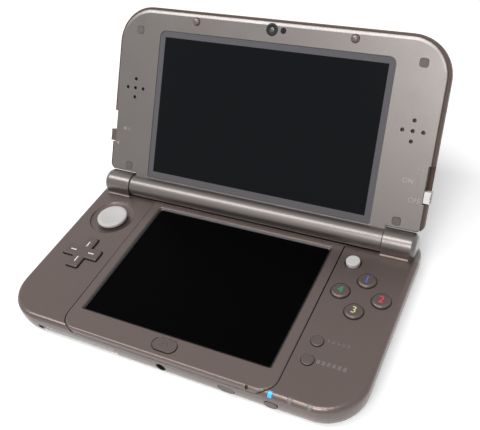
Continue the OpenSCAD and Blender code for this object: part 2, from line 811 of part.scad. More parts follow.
// Upper housing: top plate, side walls, hinge knuckles and trough
module face_panel() {
    color(dark_metal) difference() {
        union() {
            difference() {
                union() {
                    base_form(seam_top, base_h);
                    base_form(seam_mid, seam_top + 0.1, lap_t + seam);
                }
                base_room(seam_mid - 1, top_under, wall + 0.2);
            }
            // wall of the trough that the barrel turns in
            intersection() {
                at_hinge() rod_x(trough_r + 0.95, -barrel_half - 1.2,
                                 barrel_half + 1.2);
                block([-body_w, hinge_y - 7, seam_mid],
                      [body_w, rear_y - 1, base_h - 0.1]);
            }
            for (side = [-1, 1]) scale([side, 1, 1]) knuckle();
            for (p = bosses) translate(p)
                rod(boss_r, seam_mid, top_under + 0.2);
        }
        at_hinge() {
            rod_x(trough_r, -barrel_half - 0.12, barrel_half + 0.12);
            rod_x(pin_r + pin_gap, -hinge_pin_end - 0.2, hinge_pin_end + 0.2);
        }
        for (p = bosses) translate(p)
            rod(screw_r + 0.05, seam_mid - 1, top_under + 0.6);
        // pocket for the centre panel, and the opening under it
        translate([0, (panel_rear + panel_front) / 2])
            rounded_block(panel_width + 2 * panel_groove,
                          panel_rear - panel_front + 2 * panel_groove,
                          panel_corner + panel_groove, panel_under, base_h + 1);
        panel_lip(panel_groove, panel_front + panel_skirt + seam, seam_top);
        for (side = [-1, 1]) scale([side, 1, 1])
            block([panel_width / 2 - panel_corner, panel_rear - panel_corner,
                   panel_under],
                  [panel_width / 2 + panel_groove, panel_rear + panel_groove,
                   base_h + 1]);
        translate([0, window_y]) rounded_block(opening_w, opening_d, 1,
                                               seam_mid - 1, base_h + 1);
        translate(concat(home_pos, seam_mid)) linear_extrude(5)
            home_outline(1.1);
        // the circle pad's dish, its floor and the gate for the stem
        translate(pad_pos) {
            rotate_extrude() polygon([
                [0, dish_floor], [dish_r - 3, dish_floor],
                [dish_r - 1.2, base_h - 0.8], [dish_r - 0.35, base_h - 0.5],
                [dish_r, base_h + 0.01], [dish_r, base_h + 1], [0, base_h + 1]
            ]);
            rod(gate_r, seam_mid, base_h);
        }
        translate(concat(dpad_pos, seam_mid)) linear_extrude(6)
            cross_outline(dpad_tilt_room);
        for (a = [0 : 90 : 270]) translate(face_pos) rotate(a)
            translate([face_pitch, 0]) rod(face_r + 0.15, seam_mid, base_h + 1);
        for (p = [start_pos, select_pos]) translate(p)
            rod(small_r + 0.12, seam_mid, base_h + 1);
        translate(stick_pos) {
            rod(stick_r + 0.4, seam_mid, base_h + 1);
            rod(stick_r + 0.6, base_h - 0.25, base_h + 1);
        }
        for (x = led_x) block([x - led_w / 2 - 0.05, front_y - 1, base_h - 1.65],
                              [x + led_w / 2 + 0.05, front_y + 1.9, base_h + 1]);
        for (side = [-1, 1]) scale([side, 1, 1])
            shoulder_pocket(shoulder_z1 + 0.2);
    }
}

module cross_outline(grow) {
    for (a = [0, 90]) rotate(a)
        polygon(rounded_points(dpad_len + 2 * grow, dpad_arm + 2 * grow, 1));
}

module led_windows() {
    color([0.75, 0.85, 0.95]) intersection() {
        base_form(base_h - 1.6, base_h);
        for (x = led_x) block([x - led_w / 2, front_y - 1, base_h - 1.6],
                              [x + led_w / 2, front_y + 1.85, base_h + 1]);
    }
}

// ---------------------------------------------------------------- controls

// Tray whose two rails guide the carriage along X
module circle_pad_base() {
    color(dark_plastic) translate(pad_pos) difference() {
        rounded_block(22, 19.4, 1.5, board_top, top_under - 0.2);
        block([-12, -6.6, board_top + 0.4], [12, 6.6, top_under + 1]);
    }
}

// Slides along X in the tray, and carries the cap's stem in a slot along Y
module circle_pad_carriage() {
    color(light_grey) translate(pad_pos) difference() {
        rounded_block(13, 13, 1, board_top + 0.45, top_under - 0.3);
        block([-stem_r - fit_gap, -stem_r - pad_travel - slack, board_top],
              [stem_r + fit_gap, stem_r + pad_travel + slack, base_h]);
    }
}

// Cap with a hollowed top, on a stem
module circle_pad() {
    top = base_h + 1;
    color(light_grey) translate(pad_pos) rotate_extrude() polygon(concat(
        [[0, board_top + 0.55], [stem_r, board_top + 0.55],
         [stem_r, dish_floor + 0.35], [pad_r - 1, dish_floor + 0.35],
         [pad_r - 0.3, dish_floor + 0.5], [pad_r, dish_floor + 0.8]],
        [for (i = [0 : 4]) [pad_r - 0.7 * (1 - cos(22.5 * i)),
                            top - 0.7 + 0.7 * sin(22.5 * i)]],
        [for (i = [5 : -1 : 0]) [(pad_r - 1.6) * i / 5,
                                 top - 0.55 * cos(18 * i)]]
    ));
}

// Rubber domes under the direction pad
module dome_sheet_left() {
    color([0.8, 0.8, 0.78]) translate(dpad_pos) {
        difference() {
            rod(dpad_len / 2, board_top, board_top + 0.15);
            rod(2, board_top - 1, board_top + 1);
        }
        for (a = [0 : 90 : 270]) rotate(a)
            translate([dpad_flange_r - 1.7, 0, board_top + 0.1])
                cylinder(r1 = 1.9, r2 = 1.3,
                         h = dpad_flange_top - dpad_flange_t - board_top
                             - 0.1);
    }
}

// The nub in the middle of the direction pad that it rocks on
module d_pad_pivot() {
    top = dpad_flange_top - dpad_flange_t - 0.02;
    color(steel) translate(dpad_pos) rotate_extrude() polygon([
        [0, board_top + 0.12], [1.2, board_top + 0.12],
        [1.2, board_top + 0.25], [0.4, top - 0.03], [0, top]
    ]);
}

module d_pad() {
    color([0.36, 0.34, 0.33]) translate(dpad_pos) difference() {
        union() {
            rod(dpad_flange_r, dpad_flange_top - dpad_flange_t,
                dpad_flange_top);
            for (a = [0, 90]) rotate(a) hull() {
                rounded_block(dpad_len, dpad_arm, 0.9, dpad_flange_top - 0.1,
                              base_h + dpad_proud - 0.35);
                rounded_block(dpad_len - 0.8, dpad_arm - 0.8, 0.6,
                              dpad_flange_top - 0.1, base_h + dpad_proud);
            }
        }
        // a dash along each arm
        for (a = [0 : 90 : 270]) rotate(a)
            block([dpad_len / 2 - 6, -0.32, base_h + dpad_proud - 0.25],
                  [dpad_len / 2 - 2.9, 0.32, base_h + dpad_proud + 1]);
    }
}

// Rubber domes under the four face buttons
module dome_sheet_right() {
    color([0.8, 0.8, 0.78]) translate(face_pos) {
        rod(face_pitch + sheet_margin, board_top, board_top + 0.15);
        for (a = [0 : 90 : 270]) rotate(a)
            translate([face_pitch, 0, board_top + 0.1])
                cylinder(r1 = face_r - 1.1, r2 = face_r - 2.1,
                         h = face_travel - 0.12);
    }
}

module face_button(direction, tint) {
    color(tint) translate(face_pos) rotate(direction)
        translate([face_pitch, 0])
            cap(face_r, base_h + face_proud, face_r + 0.65,
                board_top + face_travel, 1);
}

module button_right() { face_button(0, [0.36, 0.33, 0.33]); }
module button_top() { face_button(90, [0.36, 0.33, 0.33]); }
module button_left() { face_button(180, [0.36, 0.33, 0.33]); }
module button_bottom() { face_button(270, [0.36, 0.33, 0.33]); }

module small_button(place) {
    color([0.4, 0.37, 0.36]) translate(place)
        cap(small_r, base_h + 0.6, small_r + 0.6, top_under - 0.7, 0.35);
}

module start_button() { small_button(start_pos); }
module select_button() { small_button(select_pos); }

module home_button() {
    color([0.42, 0.39, 0.38]) translate(home_pos) {
        translate([0, 0, board_top + small_travel + 0.1])
            linear_extrude(panel_under - 0.75 - board_top - small_travel)
                home_outline(0.7);
        translate([0, 0, panel_under - 0.8])
            linear_extrude(panel_top + 0.1 - panel_under + 0.8)
                home_outline(0);
    }
}

// A stubby force-sensing stick: it bends a little but has no travel
module c_stick() {
    color(light_grey) translate(stick_pos) rotate_extrude() polygon([
        [0, board_top + 1.2], [stick_r - 0.5, board_top + 1.2],
        [stick_r - 0.5, base_h - 0.6], [stick_r, base_h - 0.3],
        [stick_r, base_h + 1.1], [stick_r - 0.12, base_h + 1.38],
        [stick_r - 0.4, base_h + 1.5], [0, base_h + 1.5]
    ]);
}

module c_stick_base() {
    color(dark_plastic) translate(stick_pos) {
        rounded_block(9, 9, 1, board_top, board_top + 0.5);
        rod(stick_r + 0.2, board_top + 0.4, board_top + 1.2);
    }
}

// A flattened head on a round rod with a rounded tip
module stylus() {
    color(dark_plastic) translate([stylus_x, 0, io_z]) {
        profile_y(front_y + 0.35, front_y + 2.6,
                  rounded_points(stylus_head_w, stylus_head_h,
                                 stylus_head_h / 2 - 0.1));
        translate([0, front_y + 2.5, 0]) rotate([-90, 0, 0])
            rotate_extrude() polygon([
                [0, 0], [stylus_r, 0], [stylus_r, stylus_len - 10],
                [stylus_r * 0.55, stylus_len - 5.5],
                [stylus_r * 0.5, stylus_len - 3.3], [0, stylus_len - 2.5]
            ]);
    }
}

module power_button() {
    color([0.45, 0.42, 0.41]) translate([power_x, 0, io_z]) {
        profile_y(front_y - 0.05, front_y + 4,
                  rounded_points(power_w, power_h, power_h / 2 - 0.02));
        block([-power_w / 2 - 1, front_y + wall + 1.9, -power_h / 2 - 0.2],
              [power_w / 2 + 1, front_y + wall + 2.8, power_h / 2 + 0.2]);
    }
}

// Outer shoulder button on the left: a curved shell on a pivot in the corner
module outer_shoulder() {
    color([0.3, 0.28, 0.28]) {
        difference() {
            base_form(shoulder_z0, shoulder_z1, 0.05);
            base_room(shoulder_z0 - 1, shoulder_z1 + 1, 2.3);
            block([-outer_end - 0.4, -depth, 0], [body_w, depth, 20]);
            block([-body_w, -depth, 0], [body_w, rear_y - 4.25, 20]);
        }
        translate(outer_pivot) {
            rod(1.5, shoulder_z0 + 0.2, shoulder_z1 - 0.2);
            rod(pivot_shaft, seam_low + 0.4, base_h - 1);
        }
        translate(outer_pivot) rotate(135)
            block([0, -1, shoulder_z0 + 0.4], [1.8, 1, shoulder_z1 - 0.4]);
    }
}

module inner_shoulder() {
    color([0.3, 0.28, 0.28]) {
        x1 = -inner_start;
        translate([x1 + inner_shoulder_w / 2, rear_y - 1.45])
            rounded_block(inner_shoulder_w, 3.1, 0.8, shoulder_z0,
                          shoulder_z1);
        translate(inner_pivot) rod(pivot_shaft, seam_low + 0.4, base_h - 1);
    }
}

module shoulder_l() { outer_shoulder(); }
module shoulder_r() { mirror([1, 0, 0]) outer_shoulder(); }
module shoulder_zl() { inner_shoulder(); }
module shoulder_zr() { mirror([1, 0, 0]) inner_shoulder(); }

// ---------------------------------------------------------------- hinge

// Solid pin with a detent flat, on the right
module hinge_clutch() {
    color(steel) at_hinge() difference() {
        rod_x(pin_r, barrel_half - 7, hinge_pin_end);
        block([barrel_half - 8, -pin_r, pin_r - 0.4],
              [barrel_half - 5.5, pin_r, pin_r + 1]);
    }
}

// Hollow pin on the left, which the screen's cable passes through
module hinge_bushing() {
    color(steel) at_hinge() difference() {
        rod_x(pin_r, -hinge_pin_end, -barrel_half + 7);
        rod_x(pin_r - 0.8, -hinge_pin_end - 1, -barrel_half + 8);
    }
}

module display_cable() {
    color([0.75, 0.5, 0.2]) at_hinge()
        rod_x(pin_r - 1.2, -hinge_pin_end + 0.3, -barrel_half + 6.5);
}

// ---------------------------------------------------------------- lid

module lid_outer_cover() {
    color(dark_metal) in_lid() difference() {
        union() {
            difference() {
                lid_form(cover_rim);
                translate([0, (wing_s + tip_s) / 2 + 2, 0])
                    shell_form(lid_w - 2 * edge_wall,
                               tip_s - wing_s - 4 - 2 * wall, 2,
                               lid_corner - edge_wall,
                               [[outer_n + 1.45, 0], [split_n + 1, 0]]);
                frame_seat();
            }
            for (x = [-1, 1], s = cover_s) translate([x * cover_x, s])
                rod(2.6, outer_n + 1.4, split_n - seam);
        }
        // the hinge side slopes, so that the lid opens past the base
        profile_x(-body_w, body_w, [
            slope_a, slope_b, slope_b + [0, -5], slope_a + [-5, -8],
            slope_a + [-5, 0]
        ]);
        for (x = [-1, 1], s = cover_s) translate([x * cover_x, s])
            rod(screw_r, outer_n + 2, split_n + 1);
        for (x = [-1, 1]) translate([x * outer_camera_x, trim_s - 5])
            rod(3.05, outer_n - 1, outer_n + 2);
        slider_notches();
        // room for the neck of the inner frame
        block([-barrel_half, 0, outer_n - 1],
              [barrel_half, wing_s + 0.2, split_n + 1]);
    }
}

// The open notches on both sides of the lid that the slider knobs run in
module slider_notches() {
    block([lid_w / 2 - notch_depth, depth_s, notch_n],
          [body_w, depth_s + depth_notch, inner_n + 1]);
    block([-body_w, volume_s, notch_n],
          [-lid_w / 2 + notch_depth, volume_s + volume_notch, inner_n + 1]);
}

// The inner frame, with the hinge barrel
module lid_inner_frame() {
    color(warm_metal) in_lid() difference() {
        union() {
            lid_form(frame_rim, frame_inset);
            rod_x(barrel_r, -barrel_half, barrel_half);
            profile_x(-barrel_half + 0.3, barrel_half - 0.3, [
                [0, inner_n], [wing_s + 0.5, inner_n],
                [wing_s + 0.5, split_n],
                [wing_s + 0.1, split_n],
                [wing_s + 0.1, slope_n(wing_s + 0.1)], slope_a,
                [0, slope_a[1]]
            ]);
        }
        // seats for the lens and, under it, the screen
        translate([0, lens_s + lens_h / 2]) {
            lens_outline(0.05, lens_top_n - lens_t, inner_n + 1);
            rounded_block(lens_width - 2, lens_h - 2.4, 1, split_n - 1, inner_n);
        }
        // hollows in the wings and along the far edge
        for (x = [-1, 1]) difference() {
            translate([x * (lens_width / 2 + lid_w / 2 - edge_wall + 1) / 2, 46])
                rounded_block(lid_w / 2 - edge_wall - lens_width / 2 - 1.4, 68, 2,
                              split_n - 1, plate_n);
            for (s = cover_s) translate([x * cover_x, s])
                rod(3, split_n - 2, plate_n + 1);
        }
        translate([0, trim_s]) rounded_block(lens_width - 10, 5.4, 1, split_n - 1,
                                             plate_n);
        for (side = [-1, 1]) rod_x(pin_r + pin_gap,
            side > 0 ? barrel_half - 7.2 : -barrel_half - 1,
            side > 0 ? barrel_half + 1 : -barrel_half + 7.2);
        for (x = [-1, 1]) translate([x * grille_pos[0], grille_pos[1]])
            grille_holes();
        for (x = [-1, 1], s = cover_s) translate([x * cover_x, s]) {
            rod(screw_r + 0.15, split_n - 1, inner_n + 1);
            rod(1.55, inner_n - 1.5, inner_n + 1);
            cover_outline(0.1, inner_n - 0.5, inner_n + 1);
        }
        for (x = [-1, 1]) translate([x * bumper_x, trim_s])
            rod(bumper_r + fit_gap, inner_n - 0.6, inner_n + 1);
        translate([0, trim_s]) rod(camera_r + fit_gap, split_n - 1, inner_n + 1);
        translate([ir_led_x, trim_s]) rod(1.3, split_n - 1, inner_n + 1);
        slider_notches();
        slider_slot(lid_w / 2, depth_s, depth_notch);
        slider_slot(-lid_w / 2, volume_s, volume_notch);
    }
}

// Height of the sloping side at a distance from the hinge
function slope_n(s) = slope_a[1] + (s - slope_a[0])
    * (slope_b[1] - slope_a[1]) / (slope_b[0] - slope_a[0]);

module grille_holes() {
    rod(grille_r, plate_n - 1, inner_n + 1);
    for (a = [0 : 90 : 270]) rotate(a) translate([grille_pitch, 0])
        rod(grille_r, plate_n - 1, inner_n + 1);
}

// A slot through a notch's back wall, for the tongue of a slider's knob
module slider_slot(edge_x, s0, length) {
    side = edge_x > 0 ? 1 : -1;
    translate([edge_x - side * 3.2, s0 + length / 2, tongue_n])
        cube([3.2, length - 1.2, 0.9], center = true);
}

module cover_outline(grow, n0, n1) {
    rounded_block(cover_size + 2 * grow, cover_size + 2 * grow, 1.1, n0, n1);
}

// The lens is round at its far corners and nearly square at the hinge
module lens_outline(grow, n0, n1) {
    rounded_block(lens_width + 2 * grow, lens_h + 2 * grow, 3, n0, n1);
    translate([0, -lens_h / 4]) rounded_block(lens_width + 2 * grow,
        lens_h / 2 + 2 * grow, 0.8, n0, n1);
}

module screen_lens() {
    color([0.1, 0.11, 0.12]) in_lid() translate([0, lens_s + lens_h / 2])
        lens_outline(0, lens_top_n - lens_t + fit_gap, lens_top_n);
}

module upper_lcd() {
    color([0.15, 0.15, 0.17]) in_lid() translate([0, lens_s + lens_h / 2])
        rounded_block(lens_width - 2.6, lens_h - 3, 0.8, lens_top_n - lens_t - lcd_t,
                      lens_top_n - lens_t);
}

module speaker(x) {
    color(dark_plastic) in_lid() translate([x, grille_pos[1]])
        rounded_block(speaker_w, speaker_len, speaker_corner, outer_n + 2.2,
                      plate_n - 0.05);
}

module speaker_left() { speaker(-grille_pos[0]); }
module speaker_right() { speaker(grille_pos[0]); }

// A dark ring round a domed lens
module inner_camera() {
    color(dark_plastic) in_lid() translate([0, trim_s])
        rotate_extrude() polygon([
            [0, plate_n - 1], [camera_r, plate_n - 1],
            [camera_r, inner_n - 0.1], [camera_r - 0.6, inner_n + 0.05],
            [camera_r - 1, inner_n - 0.25], [1.1, inner_n - 0.4],
            [0.6, inner_n - 0.15], [0, inner_n - 0.05]
        ]);
}

module ir_led() {
    color([0.15, 0.05, 0.06]) in_lid() translate([ir_led_x, trim_s])
        rod(1.25, plate_n - 0.6, inner_n - 0.05);
}

module outer_cameras() {
    color(dark_plastic) in_lid() for (x = [-1, 1])
        translate([x * outer_camera_x, trim_s - 5]) {
            rod(3, outer_n + 0.15, outer_n + 1.9);
            rod(2.4, outer_n + 1.8, outer_n + 2.6);
        }
}

// Small board that joins the cameras, the sliders and the speakers
module lid_board() {
    color(board_green) in_lid() translate([0, tip_s - 11])
        rounded_block(lens_width - 12, 9, 1, outer_n + 2.7, outer_n + 3.3);
}

module bumpers() {
    color([0.45, 0.43, 0.42]) in_lid() for (x = [-1, 1])
        translate([x * bumper_x, trim_s]) rotate_extrude() polygon(concat(
            [[0, inner_n - 0.55], [bumper_r, inner_n - 0.55]],
            [for (i = [0 : 5]) [bumper_r * cos(18 * i),
                                inner_n + bumper_h * sin(18 * i)]]
        ));
}

module screw_covers() {
    color([0.38, 0.37, 0.36]) in_lid() for (x = [-1, 1], s = cover_s)
        translate([x * cover_x, s])
            cover_outline(0, inner_n - 0.45, inner_n + 0.05);
}

module lid_screws() {
    color(steel) in_lid() for (x = [-1, 1], s = cover_s)
        translate([x * cover_x, s]) {
            rod(1.45, inner_n - 1.5, inner_n - 0.6);
            rod(screw_r - 0.05, outer_n + 2.3, inner_n - 1.4);
        }
}

// A knob with ridges, and the tongue that joins it to its slide inside
module slider_knob(side, s0, length) {
    x_in = lid_w / 2 - notch_depth + 0.15;
    x_out = lid_w / 2 + 0.7;
    scale([side, 1, 1]) difference() {
        union() {
            block([x_in, s0, notch_n + 0.2], [x_out, s0 + length,
                                              inner_n - 0.15]);
            block([lid_w / 2 - 6, s0 + length / 2 - 1, tongue_n - 0.3],
                  [x_in + 0.1, s0 + length / 2 + 1, tongue_n + 0.3]);
            block([lid_w / 2 - 6, s0 + length / 2 - 3, tongue_n - 0.6],
                  [lid_w / 2 - 5.1, s0 + length / 2 + 3, tongue_n + 0.6]);
        }
        for (i = [1 : 4]) translate([x_out, s0 + length * i / 5, notch_n])
            rotate(45) cube([0.5, 0.5, 20], center = true);
    }
}

module depth_slider() {
    color(light_grey) in_lid() slider_knob(1, depth_s + 0.5, depth_knob);
}

module volume_slider() {
    color([0.4, 0.37, 0.36]) in_lid()
        slider_knob(-1, volume_s + 0.6, volume_knob);
}

// ---------------------------------------------------------------- assembly

back_cover();
feet();
cover_screws();
lower_housing();
port_walls();
case_screws();
battery();
mainboard();
wifi_module();
memory_card_slot();
card_slot();
headphone_jack();
charging_port();
ir_window();
lower_lcd();
lcd_tray();
touch_panel();
screen_surround();
face_panel();
led_windows();
circle_pad_base();
circle_pad_carriage();
circle_pad();
dome_sheet_left();
d_pad_pivot();
d_pad();
dome_sheet_right();
button_top();
button_left();
button_right();
button_bottom();
start_button();
select_button();
home_button();
c_stick();
c_stick_base();
stylus();
power_button();
shoulder_l();
shoulder_zl();
shoulder_zr();
shoulder_r();
hinge_clutch();
hinge_bushing();
display_cable();
lid_outer_cover();
lid_inner_frame();
screen_lens();
upper_lcd();
speaker_left();
speaker_right();
inner_camera();
ir_led();
outer_cameras();
lid_board();
bumpers();
screw_covers();
lid_screws();
depth_slider();
volume_slider();
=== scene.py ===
# %% [markdown]
# # A clamshell handheld game console
# The console has a flat base with a touch screen and controls, and a lid with
# a wide screen on a friction hinge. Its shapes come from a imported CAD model.
# This lesson dresses that model: it gives each piece its finish, adds the
# small marks and trim that a maker would print, engrave or glue on, and sets
# up the light and the camera.

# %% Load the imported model
import json
import math

import bmesh
import bpy
from mathutils import Matrix, Vector


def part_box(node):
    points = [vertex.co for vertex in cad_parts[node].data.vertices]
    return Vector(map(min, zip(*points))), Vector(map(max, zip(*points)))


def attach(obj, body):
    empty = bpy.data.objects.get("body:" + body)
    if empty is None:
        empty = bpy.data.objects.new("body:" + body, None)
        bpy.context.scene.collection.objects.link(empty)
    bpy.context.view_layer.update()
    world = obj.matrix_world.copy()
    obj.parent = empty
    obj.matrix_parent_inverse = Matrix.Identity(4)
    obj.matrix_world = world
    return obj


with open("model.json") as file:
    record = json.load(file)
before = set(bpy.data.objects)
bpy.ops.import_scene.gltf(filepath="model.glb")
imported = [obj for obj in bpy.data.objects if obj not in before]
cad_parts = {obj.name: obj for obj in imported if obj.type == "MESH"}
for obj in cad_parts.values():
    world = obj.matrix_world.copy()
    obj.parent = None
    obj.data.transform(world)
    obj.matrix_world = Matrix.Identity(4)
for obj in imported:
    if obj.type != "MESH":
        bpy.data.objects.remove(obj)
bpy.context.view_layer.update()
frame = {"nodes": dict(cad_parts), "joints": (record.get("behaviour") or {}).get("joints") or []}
cad = frame["nodes"]

# %% [markdown]
# ## Measures
# The model is in metres, but a hand-sized thing is easier to think about in
# millimetres. Measures are therefore written in millimetres and turned into
# metres by one factor. The levels below are the tops of flat faces on which
# marks are laid, and the two long walls at the front and the rear.

# %% Measures of the base, in millimetres
MM = 0.001
FRONT_Y, REAR_Y = -46.75, 46.75
COVER_LOW, BASE_TOP, PANEL_TOP = 0.6, 12.2, 12.6
SLOT_X, SLOT_HALF, SLOT_FLOOR, SLOT_LIP = -39.5, 18.5, 3.44, 0.45
print("base", REAR_Y - FRONT_Y, "mm deep and", BASE_TOP, "mm high")

# %% [markdown]
# ## The frames that pieces are placed in
# Pieces on the base are placed in the model's own frame. Pieces on the lid
# are easier to place in the lid's frame: X to the right, S away from the
# hinge and N out of the inner face. One matrix turns that frame into the
# model's, so a mark on the lid is written down as if the lid lay flat.

# %% The lid's frame
hinge = next(j for j in frame["joints"] if j["name"] == "lid_hinge")
HINGE = Vector(hinge["pos_m"])
LID_TILT = math.radians(58)
LID_TOP = 0.75
TO_BASE = Matrix.Scale(MM, 4)
TO_LID = (Matrix.Translation(HINGE) @ Matrix.Rotation(LID_TILT, 4, "X")
          @ Matrix.Scale(MM, 4))
print("hinge axis at", [round(v / MM, 2) for v in HINGE], "mm")


# %% Where a CAD node is, in millimetres
def middle_of(node):
    """The middle of a node's top, which is where its mark goes."""
    low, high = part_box(node)
    return Vector(((low[0] + high[0]) / 2, (low[1] + high[1]) / 2,
                   high[2])) / MM


print("d-pad at", [round(v, 2) for v in middle_of("d_pad")])

# %% [markdown]
# ## The camera
# The camera stands at the front right, above the console, and looks down on
# it. Its place and its turn are written as numbers, so the view stays put.
# The three directions are the rows of a rotation, and Blender's camera looks
# along its own -Z, so the last column is the viewing direction turned round.

# %% Camera
CAMERA_PLACE = Vector((122.04, -166.85, 223.82)) * MM
RIGHT = Vector((0.89578, 0.42676, -0.12430))
DOWN = Vector((0.20319, -0.64187, -0.73940))
AHEAD = Vector((-0.39533, 0.63709, -0.66169))

lens = bpy.data.cameras.new("camera")
lens.lens = 51.95
lens.sensor_width = 36
lens.sensor_fit = "HORIZONTAL"
lens.clip_start = 0.01
camera = bpy.data.objects.new("camera", lens)
turn = Matrix((RIGHT, -DOWN, -AHEAD)).transposed().to_4x4()
camera.matrix_world = Matrix.Translation(CAMERA_PLACE) @ turn
bpy.context.scene.collection.objects.link(camera)
bpy.context.scene.camera = camera
bpy.context.scene.view_settings.view_transform = "Standard"
print("camera", round((CAMERA_PLACE - HINGE).length / MM), "mm from the hinge")

# %% [markdown]
# ## Building blocks for materials
# Every finish here is a Principled shader. What differs is the pattern that
# feeds it. A small helper makes the node tree and returns the parts that the
# later cells need, and another adds a node with its settings in one line.


# %% Helpers for node trees
def put(tree, node, inputs):
    """Fills a node's inputs with values or with links from other nodes."""
    for key, value in inputs.items():
        if isinstance(value, bpy.types.NodeSocket):
            tree.links.new(value, node.inputs[key])
        else:
            node.inputs[key].default_value = value
    return node


def add(tree, kind, inputs=None, **settings):
    node = tree.nodes.new(kind)
    for key, value in settings.items():
        setattr(node, key, value)
    return put(tree, node, inputs or {})


def new_material(name, **fixed):
    """A material with a Principled shader, whose fixed values go on it."""
    material = bpy.data.materials.new(name)
    material.use_nodes = True
    shader = material.node_tree.nodes["Principled BSDF"]
    for key, value in fixed.items():
        shader.inputs[key.replace("_", " ")].default_value = value
    return material, material.node_tree, shader


def here(tree):
    """Object coordinates, which stay on a piece as it moves."""
    return add(tree, "ShaderNodeTexCoord").outputs["Object"]


def maths(tree, operation, a, b=0.0, c=0.0, clamp=False):
    return add(tree, "ShaderNodeMath", {0: a, 1: b, 2: c},
               operation=operation, use_clamp=clamp).outputs[0]


def blend(tree, share, first, second):
    """Mixes two colours by a mask."""
    return add(tree, "ShaderNodeMix", {0: share, 6: first, 7: second},
               data_type="RGBA").outputs[2]


print("helpers ready")

# %% [markdown]
# ## Shared patterns
# Sprayed metallic paint is not one colour: fine metal flakes lie at slightly
# different angles, and hands polish the places that they touch. Moulded
# plastic has a fine grain from the mould. Each of these is a node group with
# named inputs, built once and placed in every material that shows it.


# %% Helpers that start a node group and place one
def new_group(name, inputs, outputs):
    group = bpy.data.node_groups.new(name, "ShaderNodeTree")
    for key, kind, value in inputs:
        socket = group.interface.new_socket(
            name=key, in_out="INPUT", socket_type="NodeSocket" + kind)
        if value is not None:
            socket.default_value = value
    for key, kind in outputs:
        group.interface.new_socket(
            name=key, in_out="OUTPUT", socket_type="NodeSocket" + kind)
    return (group, group.nodes.new("NodeGroupInput").outputs,
            group.nodes.new("NodeGroupOutput").inputs)


def use(tree, group, **inputs):
    node = tree.nodes.new("ShaderNodeGroup")
    node.node_tree = group
    return put(tree, node, inputs).outputs


# %% Metal flakes in paint
flakes, taken, given = new_group(
    "metal_flakes",
    [("Place", "Vector", None), ("Size", "Float", 0.12),
     ("Spread", "Float", 0.1)],
    [("Shade", "Float"), ("Height", "Float")])
per_metre = maths(flakes, "DIVIDE", 1000.0, taken["Size"])
cells = add(flakes, "ShaderNodeTexVoronoi",
            {"Vector": taken["Place"], "Scale": per_metre})
cell_shade = add(flakes, "ShaderNodeSeparateColor",
                 {0: cells.outputs["Color"]}).outputs[0]
centred = maths(flakes, "SUBTRACT", cell_shade, 0.5)
flakes.links.new(
    maths(flakes, "MULTIPLY_ADD", centred, taken["Spread"], 1.0),
    given["Shade"])
flakes.links.new(cell_shade, given["Height"])
print("group", flakes.name)

# %% Soft clouds, for handling marks and uneven spray
clouds, taken, given = new_group(
    "soft_clouds",
    [("Place", "Vector", None), ("Size", "Float", 20.0),
     ("Spread", "Float", 0.1), ("Middle", "Float", 1.0)],
    [("Value", "Float")])
per_metre = maths(clouds, "DIVIDE", 1000.0, taken["Size"])
noise = add(clouds, "ShaderNodeTexNoise",
            {"Vector": taken["Place"], "Scale": per_metre, "Detail": 3.0,
             "Roughness": 0.55})
centred = maths(clouds, "SUBTRACT", noise.outputs[0], 0.5)
spread = maths(clouds, "MULTIPLY", taken["Spread"], 2.0)
clouds.links.new(
    maths(clouds, "MULTIPLY_ADD", centred, spread, taken["Middle"]),
    given["Value"])
print("group", clouds.name)

# %% The fine grain of moulded plastic and rubber
grain, taken, given = new_group(
    "moulded_grain",
    [("Place", "Vector", None), ("Size", "Float", 0.25)],
    [("Height", "Float")])
per_metre = maths(grain, "DIVIDE", 1000.0, taken["Size"])
fine = add(grain, "ShaderNodeTexNoise",
           {"Vector": taken["Place"], "Scale": per_metre, "Detail": 2.0})
grain.links.new(fine.outputs[0], given["Height"])
print("group", grain.name)

# %% [markdown]
# ## Masks in the paint
# A mask is a number between 0 and 1 that says where a finish holds. It can be
# worked out from where a point lies on the piece, so it needs no picture and
# no second mesh. Here one mask picks out the hinge, and two small helpers
# measure places: across and along from a point, and in the lid's own plane.


# %% Masks and measures for materials
def hinge_mask(tree, place, radius, blend_over=0.1):
    """0 within a radius of the hinge's axis, 1 outside it."""
    from_hinge = add(tree, "ShaderNodeVectorMath",
                     {0: place, 1: tuple(HINGE)}, operation="SUBTRACT")
    across = add(tree, "ShaderNodeVectorMath",
                 {0: from_hinge.outputs[0], 1: (0.0, 1.0, 1.0)},
                 operation="MULTIPLY")
    reach = add(tree, "ShaderNodeVectorMath", {0: across.outputs[0]},
                operation="LENGTH").outputs["Value"]
    return maths(tree, "DIVIDE", maths(tree, "SUBTRACT", reach, radius * MM),
                 blend_over * MM, clamp=True)


def split_xyz(tree, place):
    return add(tree, "ShaderNodeSeparateXYZ", {0: place}).outputs


def off_from(tree, value, middle):
    """How far a value lies from a middle, on either side of it."""
    return maths(tree, "ABSOLUTE", maths(tree, "SUBTRACT", value, middle))


def lid_plane(tree):
    """Millimetres across the lid and up from the hinge, in its own plane."""
    from_hinge = add(tree, "ShaderNodeVectorMath",
                     {0: here(tree), 1: tuple(HINGE)}, operation="SUBTRACT")
    return add(tree, "ShaderNodeMapping", {
        "Vector": from_hinge.outputs[0], "Rotation": (-LID_TILT, 0, 0),
        "Scale": (1 / MM, 1 / MM, 1 / MM)}).outputs[0]


print("masks ready")

# %% [markdown]
# ## Metallic paint
# The shells are plastic sprayed with satin metallic paint: a mirror-like
# metal seen through a fine scatter, so metallic is high and roughness is
# middling. The Bevel node rounds the shading of sharp edges by a tenth of a
# millimetre or so, which is what lets a moulded edge catch the light. The
# hinge's barrel and knuckles are glossier than the flat parts of the same
# pieces, so the paint changes within a radius of the hinge's axis.

